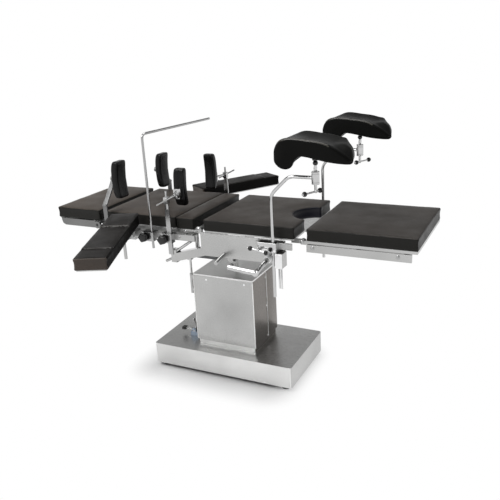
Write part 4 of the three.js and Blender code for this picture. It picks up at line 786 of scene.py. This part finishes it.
# The rail clamp's handle: distance from the rod, height, the shaft's two ends, half its bar and its tilt
CLAMP_X, CLAMP_Z, CLAMP_ROOT_Y, CLAMP_BAR_Y = 56, 769.7, 289, 324.3
CLAMP_HALF, CLAMP_TILT = 39, math.radians(-10)
for side, s in (("front", -1), ("rear", 1)):
    y = s * POST_Y
    rod_x, head_x, rise, _, _, slide = CRUTCH[side]
    # Knee crutch rod with its sleeve and ball joint
    bm = bmesh.new()
    swept(bm, [place(rod_x, y, ROD_LOW), place(rod_x, y, ROD_BEND + rise),
               place(rod_x + ROD_RUN, y, ARM_Z + rise), place(head_x, y, ARM_Z + rise)],
          ROD_CURVE, ROD_RADIUS)
    turned(bm, place(head_x, y, SLEEVE_Z + rise), UP,
           [(0, 15), (1, 16.5), (4, 17), (8, 17), (9, 15.6), (11, 15.6), (12, 17), (44, 17), (45, 15.6),
            (47, 15.6), (48, 17), (54, 17), (56, 15)], 36)
    turned(bm, place(head_x, y, SLEEVE_Z + 55 + rise), UP,
           [(0, 5.2), (6, 6.6), (14, 7.6), (18, 7.6), (24, 6.2), (33, 6)], 24)
    first = len(bm.faces)
    sphere(bm, place(head_x, y, BALL_Z + rise), BALL_RADIUS)
    paint(bm, first, 1)
    finish_look(bm, f"crutch_rod_{side}", ["chrome", "dark"])
    # Handle under the sleeve
    low = SLEEVE_Z - HANDLE_DROP + rise
    centre = place(head_x, y, low)
    tips = [place(head_x + k * math.cos(HANDLE_TURN), y + k * math.sin(HANDLE_TURN), low)
            for k in (slide - HANDLE_HALF, slide + HANDLE_HALF)]
    bm = bmesh.new()
    t_bar(bm, (centre, place(head_x, y, SLEEVE_Z + HANDLE_INTO + rise)), centre, tips)
    finish_look(bm, f"crutch_handle_{side}", ["chrome", "plastic"])
    # Handle of the rail clamp
    x, y = rod_x - CLAMP_X, s * CLAMP_BAR_Y
    centre = place(x, y, CLAMP_Z)
    tips = [place(x + k * math.cos(CLAMP_TILT), y, CLAMP_Z + k * math.sin(CLAMP_TILT))
            for k in (-CLAMP_HALF, CLAMP_HALF)]
    bm = bmesh.new()
    t_bar(bm, (place(x, s * CLAMP_ROOT_Y, CLAMP_Z), centre), centre, tips)
    finish_look(bm, f"clamp_handle_{side}", ["chrome", "plastic"])


# Distance of the knobs' inner faces from the middle, and the place along X, side and height of each
KNOB_Y = 300.6
KNOBS = {"screen_knob": (-322, -1, 768.7), "body_knob_front": (-212, -1, 766.7),
         "body_knob_rear": (-198, 1, 766.7)}


def knob(node, x, s, z):
    """A black hand knob with five lobes."""
    def lobes(a):
        return 1 - 0.15 * (0.5 - 0.5 * math.cos(5 * a)) ** 0.8

    bm = bmesh.new()
    out = Vector((0, s, 0))
    start = place(x, s * KNOB_Y, z)
    turned(bm, ahead(start, out, 7.5), out,
           [(0, 16), (1.5, 21.5), (4, 23.6), (10, 24), (16, 23.4), (18.6, 21), (20, 17)], 84, lobes)
    turned(bm, start, out, [(0, 11), (1, 12), (8, 13)], 28)
    turned(bm, ahead(start, out, 26.6), out, [(0, 9), (0.9, 8.6), (1.1, 7)], 24)
    first = len(bm.faces)
    stud(bm, ahead(start, out, -11.5), ahead(start, out, 1), 5.9)
    paint(bm, first, 1)
    finish_look(bm, node, ["plastic", "satin"])


for node, spot in KNOBS.items():
    knob(node, *spot)

# Screen rod: its place along X, lower end, top, arm, bend and radius, and the arm's heading
SCREEN_X, SCREEN_LOW, SCREEN_TOP, SCREEN_ARM, SCREEN_BEND, SCREEN_RADIUS = -288, 708, 1266, 534, 26, 6
SCREEN_TURN = math.radians(6.5)
bm = bmesh.new()
swept(bm, [place(SCREEN_X, -POST_Y, SCREEN_LOW), place(SCREEN_X, -POST_Y, SCREEN_TOP),
           place(SCREEN_X + SCREEN_ARM * math.sin(SCREEN_TURN), -POST_Y + SCREEN_ARM * math.cos(SCREEN_TURN),
                 SCREEN_TOP)], SCREEN_BEND, SCREEN_RADIUS)
finish_look(bm, "screen_rod", ["satin"])

# Crank: where its shaft leaves the panel, the shaft's length and slope, the handle's length and lean
CRANK_ROOT, CRANK_SHAFT, CRANK_ARM = (333, -248, 729), 178, 124
slope, lean = math.radians(8.5), math.radians(6)
out = Vector((0, -math.cos(slope), -math.sin(slope)))
root = place(*CRANK_ROOT)
knee = ahead(root, out, CRANK_SHAFT)
arm = Vector((-math.cos(lean), -math.sin(lean) * math.sin(slope), math.sin(lean) * math.cos(slope)))
tip = ahead(knee, arm, CRANK_ARM)
bm = bmesh.new()
stud(bm, ahead(root, out, 21), ahead(knee, out, 6), 10.6)
stud(bm, ahead(knee, arm, -11), ahead(tip, arm, 8), 12.5)
turned(bm, ahead(knee, out, -12), out, [(0, 11.6), (1, 12.6), (22, 12.6), (23.5, 11)])
turned(bm, ahead(tip, out, 7), -out,
       [(0, 8), (1.4, 9.8), (8, 9.8), (9, 8.8), (29, 9.4), (31, 9.4), (33, 7)])
finish_piece(bm, "crank_look", BODY_OF["crank_handle"], ["chrome"], ["crank_handle"])
# The ribs of its collar: where they start, how far apart they are and how many there are
RIB_START, RIB_PITCH, RIB_COUNT = 13, 9.6, 5
bm = bmesh.new()
for k in range(RIB_COUNT):
    turned(bm, ahead(root, out, RIB_START + RIB_PITCH * k), out,
           [(0, 15.0), (1.2, 16.8), (4.6, 16.8), (5.8, 15.0)])
turned(bm, ahead(root, out, 0.5), out, [(0, 19), (1, 20), (8, 20), (9.5, 18), (12, 16)])
finish_piece(bm, "crank_collar_ribs", BODY_OF["side_panel_front"], ["bright"])


# Finer metal

def ends(face):
    """1 on the faces towards the head and leg ends, which take the painted shade."""
    return int(abs(face.normal.x) > 0.7)


def base_sides(face):
    """2 on top, 1 at the ends, which take the painted shade."""
    return 2 if face.normal.z > 0.7 else ends(face)


def column_sides(face):
    """2 on the upright corner edges, which take a painted highlight, 1 at the ends, which take the painted
    shade.
    """
    corner = abs(face.normal.x) > 0.3 and abs(face.normal.y) > 0.3
    return 2 if corner and abs(face.normal.z) < 0.3 else ends(face)


def jack_slant(face):
    """1 on the jack's upper part, above a slanting line."""
    middle = face.calc_center_median() / SCALE
    return int(middle.z > 720 + (middle.x + 55) * 0.29)


def pedal_end(face):
    """1 on the pedal's bright part."""
    return int(face.calc_center_median().x / SCALE - BASE.x > -286)


# Materials and edge radius of each solid, and the function that gives a face its material
FINER = {
    "base_cover": (["base", "base_shade", "base_top"], 5.0, base_sides),
    "column_skirt": (["base", "column_shade"], 1.0, ends),
    "column_cover": (["column", "column_shade", "bright"], 5.0, column_sides),
    # The column head's cap above the neck takes the darker steel: painted shade under the table
    "column_head": (["base", "base_shade"], 1.2, lambda f: int(f.calc_center_median().z > 0.5795)),
    "side_panel_front": (["panel"], 1.0),
    "side_panel_rear": (["panel"], 1.0),
    "seat_frame": (["panel"], 1.0),
    # The gearbox's front faces take the near-white metal: a painted highlight on the lit side
    "gearbox": (["panel", "bright"], 1.6, lambda f: int(f.normal.y < -0.7)),
    "back_jack": (["rail", "chrome"], 1.4, jack_slant),
    "back_frame": (["rail"], 1.0),
    "kidney_bridge": (["rail"], 0.8),
    "head_frame": (["tray"], 1.0),
    "leg_frame": (["rail"], 1.0),
    "tilt_carriage": (["casting"], 1.5),
    "tilt_jack_tube": (["satin"], 0.8),
    "tilt_jack_rod": (["chrome"], 0.8),
    "pump_pedal": (["plastic", "chrome"], 1.6, pedal_end),
    "release_pedal": (["satin"], 0.6),
    "screen_clamp": (["satin"], 1.4),
}
# Material and edge radius of each solid that has a twin on the other side
FINER_PAIRS = {
    "arm_clamp": ("satin", 1.4), "arm_plate": ("rail", 0.8), "shoulder_bar": ("bar", 1.0),
    "body_clamp": ("satin", 1.4), "body_post": ("satin", 1.0), "body_arm": ("chrome", 0.8),
    "crutch_clamp": ("chrome", 1.6),
}
for node, finish in FINER.items():
    refined(node, *finish)
for side in ("front", "rear"):
    for name, (key, radius) in FINER_PAIRS.items():
        refined(f"{name}_{side}", [key], radius)
# Solids that are shown as they are
for node, key in (("base_plate", "rubber"), ("hydraulic_cylinder", "casting"), ("piston_rod", "chrome")):
    obj = frame["nodes"][node]
    obj.data.materials.clear()
    obj.data.materials.append(MAT[key])


# Small fittings

def screw(bm, centre, out, radius):
    """A screw head with a small six-sided centre."""
    height = 2.2
    turned(bm, ahead(centre, out, -0.6), out,
           [(0, radius), (height * 0.6, radius), (height, radius * 0.72)], 20)
    turned(bm, ahead(centre, out, height - 0.55), out, [(0, radius * 0.34), (0.6, radius * 0.34)], 6)


# Bright blocks on the knuckles of the body supports: middle along X, half sizes, lower and upper side,
# their screws' heights and their distance from the post
BLOCK_X, BLOCK_HALF_X, BLOCK_HALF_Y, BLOCK_LOW, BLOCK_HIGH = -202, 17, 11.4, 934, 984
BLOCK_SCREWS_Z = (943, 975)
BLOCK_REACH = {"front": 124, "rear": 74}
for side, s in (("front", -1), ("rear", 1)):
    y = s * (POST_Y - BLOCK_REACH[side])
    bm = bmesh.new()
    rounded_box(bm, (BLOCK_X - BLOCK_HALF_X, y - BLOCK_HALF_Y, BLOCK_LOW),
                (BLOCK_X + BLOCK_HALF_X, y + BLOCK_HALF_Y, BLOCK_HIGH), 3.0)
    for z in BLOCK_SCREWS_Z:
        screw(bm, place(BLOCK_X, y + s * BLOCK_HALF_Y, z), Vector((0, s, 0)), 5)
    finish_piece(bm, f"body_knuckle_{side}", BODY_OF[f"body_arm_{side}"], ["chrome"])

# The column cover's half sizes, the places of its screws, and the two ends of its lapped seams
COLUMN_X, COLUMN_Y, SIDE_SCREW_Y = 170, 136, 12
TOP_SCREWS_X, TOP_SCREWS_Z, SIDE_SCREWS_Z = (-93, 123), 508, (343, 172, 500)
LAP_LOW, LAP_HIGH = 163, 525
bm = bmesh.new()
for x in TOP_SCREWS_X:
    screw(bm, place(x, -COLUMN_Y, TOP_SCREWS_Z), Vector((0, -1, 0)), 5.4)
for z in SIDE_SCREWS_Z:
    screw(bm, place(COLUMN_X, SIDE_SCREW_Y, z), Vector((1, 0, 0)), 4.2)
    screw(bm, place(-COLUMN_X, -SIDE_SCREW_Y, z), Vector((-1, 0, 0)), 4.2)
for x in TOP_SCREWS_X:
    screw(bm, place(x, COLUMN_Y, TOP_SCREWS_Z), Vector((0, 1, 0)), 4.2)
finish_piece(bm, "column_screws", "lifting_column", ["bright"])
# The lapped side panels, in the darker steel of the painted shade
bm = bmesh.new()
for s in (1, -1):
    rounded_box(bm, (s * 169.6, s * 24, LAP_LOW), (s * 171.2, s * 134, LAP_HIGH), 0.5)
finish_piece(bm, "column_laps", "lifting_column", ["column_shade"])
# Near-white strips along the lap seams and the upright corners: painted highlights
bm = bmesh.new()
for s in (-1, 1):
    rounded_box(bm, (s * 169.8, s * 20 - 2.2, LAP_LOW), (s * 172, s * 20 + 2.2, LAP_HIGH), 0.6)
    for y in (-1, 1):
        rounded_box(bm, (s * 166.6, y * 133.4, LAP_LOW), (s * 170.8, y * 136.8, LAP_HIGH - 1), 0.6)
finish_piece(bm, "column_edge_highlights", "lifting_column", ["edge"])

# Feet, and their distance from the middle along X and Y
FOOT_X, FOOT_Y = 347.6, 168.6
bm = bmesh.new()
for sx in (-1, 1):
    for sy in (-1, 1):
        turned(bm, place(sx * FOOT_X, sy * FOOT_Y, 0.0), UP,
               [(0, 21), (1.5, 24.2), (8, 25), (20, 22), (25, 18)])
finish_piece(bm, "rubber_feet", "base", ["rubber"])

# Pedal bracket in blue paint over the base cover's lugs: middle along X, the lugs' places along Y, top of
# the base and height of the pivot
BRACKET_X, LUGS_Y, BRACKET_Z, PIVOT_Z = -234, (-68, -16), 135.9, 168
bm = bmesh.new()
for y in LUGS_Y:
    rounded_box(bm, (BRACKET_X - 22, y - 3.6, BRACKET_Z), (BRACKET_X + 22, y + 3.6, PIVOT_Z - 8), 1.0)
    turned(bm, place(BRACKET_X, y - 3.9, PIVOT_Z), Vector((0, 1, 0)),
           [(0, 12.4), (0.8, 13.2), (7, 13.2), (7.8, 12.4)], 28)
rounded_box(bm, (BRACKET_X - 24, LUGS_Y[0] - 2, BRACKET_Z),
            (BRACKET_X + 24, LUGS_Y[1] + 2, BRACKET_Z + 2.5), 0.8)
finish_piece(bm, "pedal_bracket", "base", ["blue"])

# Bosses and bolts on both sides of the sections: piece, body and material, then each one's place along X,
# distance from the middle, height, profile and number of sides
END_BOLT = [(0, 9), (2, 9), (4, 6)]
PANEL_BOSS = [(0, 13), (1.6, 13), (2.6, 11.4), (4.2, 8), (5.4, 6.4)]
BACK_BOSS = [(0, 15), (1.4, 15), (2.4, 13.6), (4.0, 13.6), (5.2, 9)]
LEG_BOLT = [(0, 9.6), (1.2, 9.6), (2.0, 8.6), (2.2, 5.6), (4.4, 5.2), (5.2, 3.8)]
HEAD_BOSS = [(0, 19.4), (3.4, 19.4), (5, 17.6), (5.2, 12), (7, 11), (9.5, 8)]
BOSSES = [
    ("panel_bolts", "seat", "satin", [(-44.5, 247.6, 812, PANEL_BOSS, 28)]),
    ("back_bolts", "back", "satin", [(-128, 235.6, 786, BACK_BOSS, 28)]),
    ("back_end_bolts", "back", "dark", [(-611, 224.4, 799.7, END_BOLT, 24)]),
    ("leg_bolts", "leg", "satin", [(530, 245.4, 777, LEG_BOLT, 24), (905, 245.4, 777, LEG_BOLT, 24),
                                   (472.5, 224.4, 794.7, END_BOLT, 24)]),
    ("head_ratchets", "head", "dark", [(-648, 246.6, 787, HEAD_BOSS, 32)]),
]
# The screws among them
SCREWS = {"back_bolts": [(x, 268, 772) for x in (-470, -250, -140)]}
for name, body, key, bosses in BOSSES:
    bm = bmesh.new()
    for s in (-1, 1):
        out = Vector((0, s, 0))
        for x, y, z in SCREWS.get(name, ()):
            screw(bm, place(x, s * y, z), out, 5)
        for x, y, z, profile, sides in bosses:
            turned(bm, place(x, s * y, z), out, profile, sides)
    finish_piece(bm, name, body, [key])


# Camera, floor and light

scene = bpy.context.scene
scene.view_settings.view_transform = "Standard"

# The camera fitted to the photograph: place, turn, focal length and picture in pixels, sensor in millimetres
CAM = (1464.6, -2698.35, 1686.5)
YAW, PITCH, ROLL, FOCAL = -0.4688, -0.3321, -0.0538, 630.45
PIXELS, SENSOR = 500, 36
forward = Vector((math.sin(YAW) * math.cos(PITCH), math.cos(YAW) * math.cos(PITCH), math.sin(PITCH)))
level = Vector((math.cos(YAW), -math.sin(YAW), 0))
upward = level.cross(forward)
right = level * math.cos(ROLL) + upward * math.sin(ROLL)
top = upward * math.cos(ROLL) - level * math.sin(ROLL)
camera_data = bpy.data.cameras.new("camera")
camera_data.sensor_width = SENSOR
camera_data.lens = FOCAL / PIXELS * SENSOR
camera_data.clip_end = 100
camera = bpy.data.objects.new("camera", camera_data)
scene.collection.objects.link(camera)
camera.matrix_world = Matrix((right, top, -forward)).transposed().to_4x4()
camera.location = place(*CAM)
scene.camera = camera


def seen_directly(nodes, links):
    """1 for camera rays and reflected or transmitted ones, 0 for those that light the part."""
    path = nodes.new("ShaderNodeLightPath")
    total = path.outputs["Is Camera Ray"]
    for kind in ("Is Glossy Ray", "Is Transmission Ray"):
        total = math_node(nodes, links, "MAXIMUM", total, path.outputs[kind])
    return total


# The floor is plain and lit inside the footprint and turns into an even white over the fade beyond it;
# half sizes are in metres
FOOTPRINT = (0.31, 0.185, 10.0)
FADE, REACH = 0.21, 30.0
floor_mesh = bpy.data.meshes.new("floor")
corners = [(x * REACH, y * REACH, 0) for x, y in ((-1, -1), (1, -1), (1, 1), (-1, 1))]
floor_mesh.from_pydata(corners, [], [(0, 1, 2, 3)])
floor = bpy.data.objects.new("floor", floor_mesh)
scene.collection.objects.link(floor)
mat, nodes, links, bsdf = new_material("floor")
links.new(ramp(nodes, links, grain(nodes, links, 3), grey(0.93), grey(0.95)), bsdf.inputs["Base Color"])
bsdf.inputs["Roughness"].default_value = 0.9
bsdf.inputs["Specular IOR Level"].default_value = 0.1
glow = nodes.new("ShaderNodeEmission")
glow.inputs["Strength"].default_value = 1.0
position = nodes.new("ShaderNodeNewGeometry")
beyond = position.outputs["Position"]
for operation, value in (("SUBTRACT", place(-50, -30, 0)), ("ABSOLUTE", None), ("SUBTRACT", FOOTPRINT),
                         ("MAXIMUM", (0, 0, 0)), ("LENGTH", None)):
    away = nodes.new("ShaderNodeVectorMath")
    away.operation = operation
    links.new(beyond, away.inputs[0])
    if value is not None:
        away.inputs[1].default_value = value
    beyond = away.outputs["Value" if operation == "LENGTH" else "Vector"]
far_out = map_range(nodes, links, beyond, 0.0, 1.0, 0.0, FADE, "SMOOTHSTEP")
blend = nodes.new("ShaderNodeMixShader")
links.new(math_node(nodes, links, "MULTIPLY", far_out, seen_directly(nodes, links)), blend.inputs["Fac"])
links.new(bsdf.outputs["BSDF"], blend.inputs[1])
links.new(glow.outputs["Emission"], blend.inputs[2])
links.new(blend.outputs["Shader"], nodes["Material Output"].inputs["Surface"])
floor_mesh.materials.append(mat)

# The studio is white from the level of the eye down, grey overhead, and dimmer where it lights the part
world = bpy.data.worlds.new("studio")
scene.world = world
world.use_nodes = True
wn, wl = world.node_tree.nodes, world.node_tree.links
coords = wn.new("ShaderNodeTexCoord")
parts = wn.new("ShaderNodeSeparateXYZ")
wl.new(coords.outputs["Generated"], parts.inputs["Vector"])
wl.new(ramp(wn, wl, parts.outputs["Z"], grey(1.0), grey(0.26), 0.1, 0.42), wn["Background"].inputs["Color"])
wl.new(map_range(wn, wl, seen_directly(wn, wl), 0.62, 1.0), wn["Background"].inputs["Strength"])

# Place, target, power and size of each lamp, in metres and watts
LAMPS = {"key": ((-1.4, -2.4, 3.6), (0, 0, 0.6), 105, 2.4, 2.0),
         "top": ((0.2, 0.6, 4.2), (0, 0, 0.6), 70, 3.0, 2.4)}
for name, (position, target, watts, size_x, size_y) in LAMPS.items():
    data = bpy.data.lights.new(name, "AREA")
    data.shape = "RECTANGLE"
    data.size, data.size_y, data.energy = size_x, size_y, watts
    lamp = bpy.data.objects.new(name, data)
    scene.collection.objects.link(lamp)
    lamp.location = position
    lamp.rotation_euler = (Vector(target) - Vector(position)).to_track_quat("-Z", "Y").to_euler()
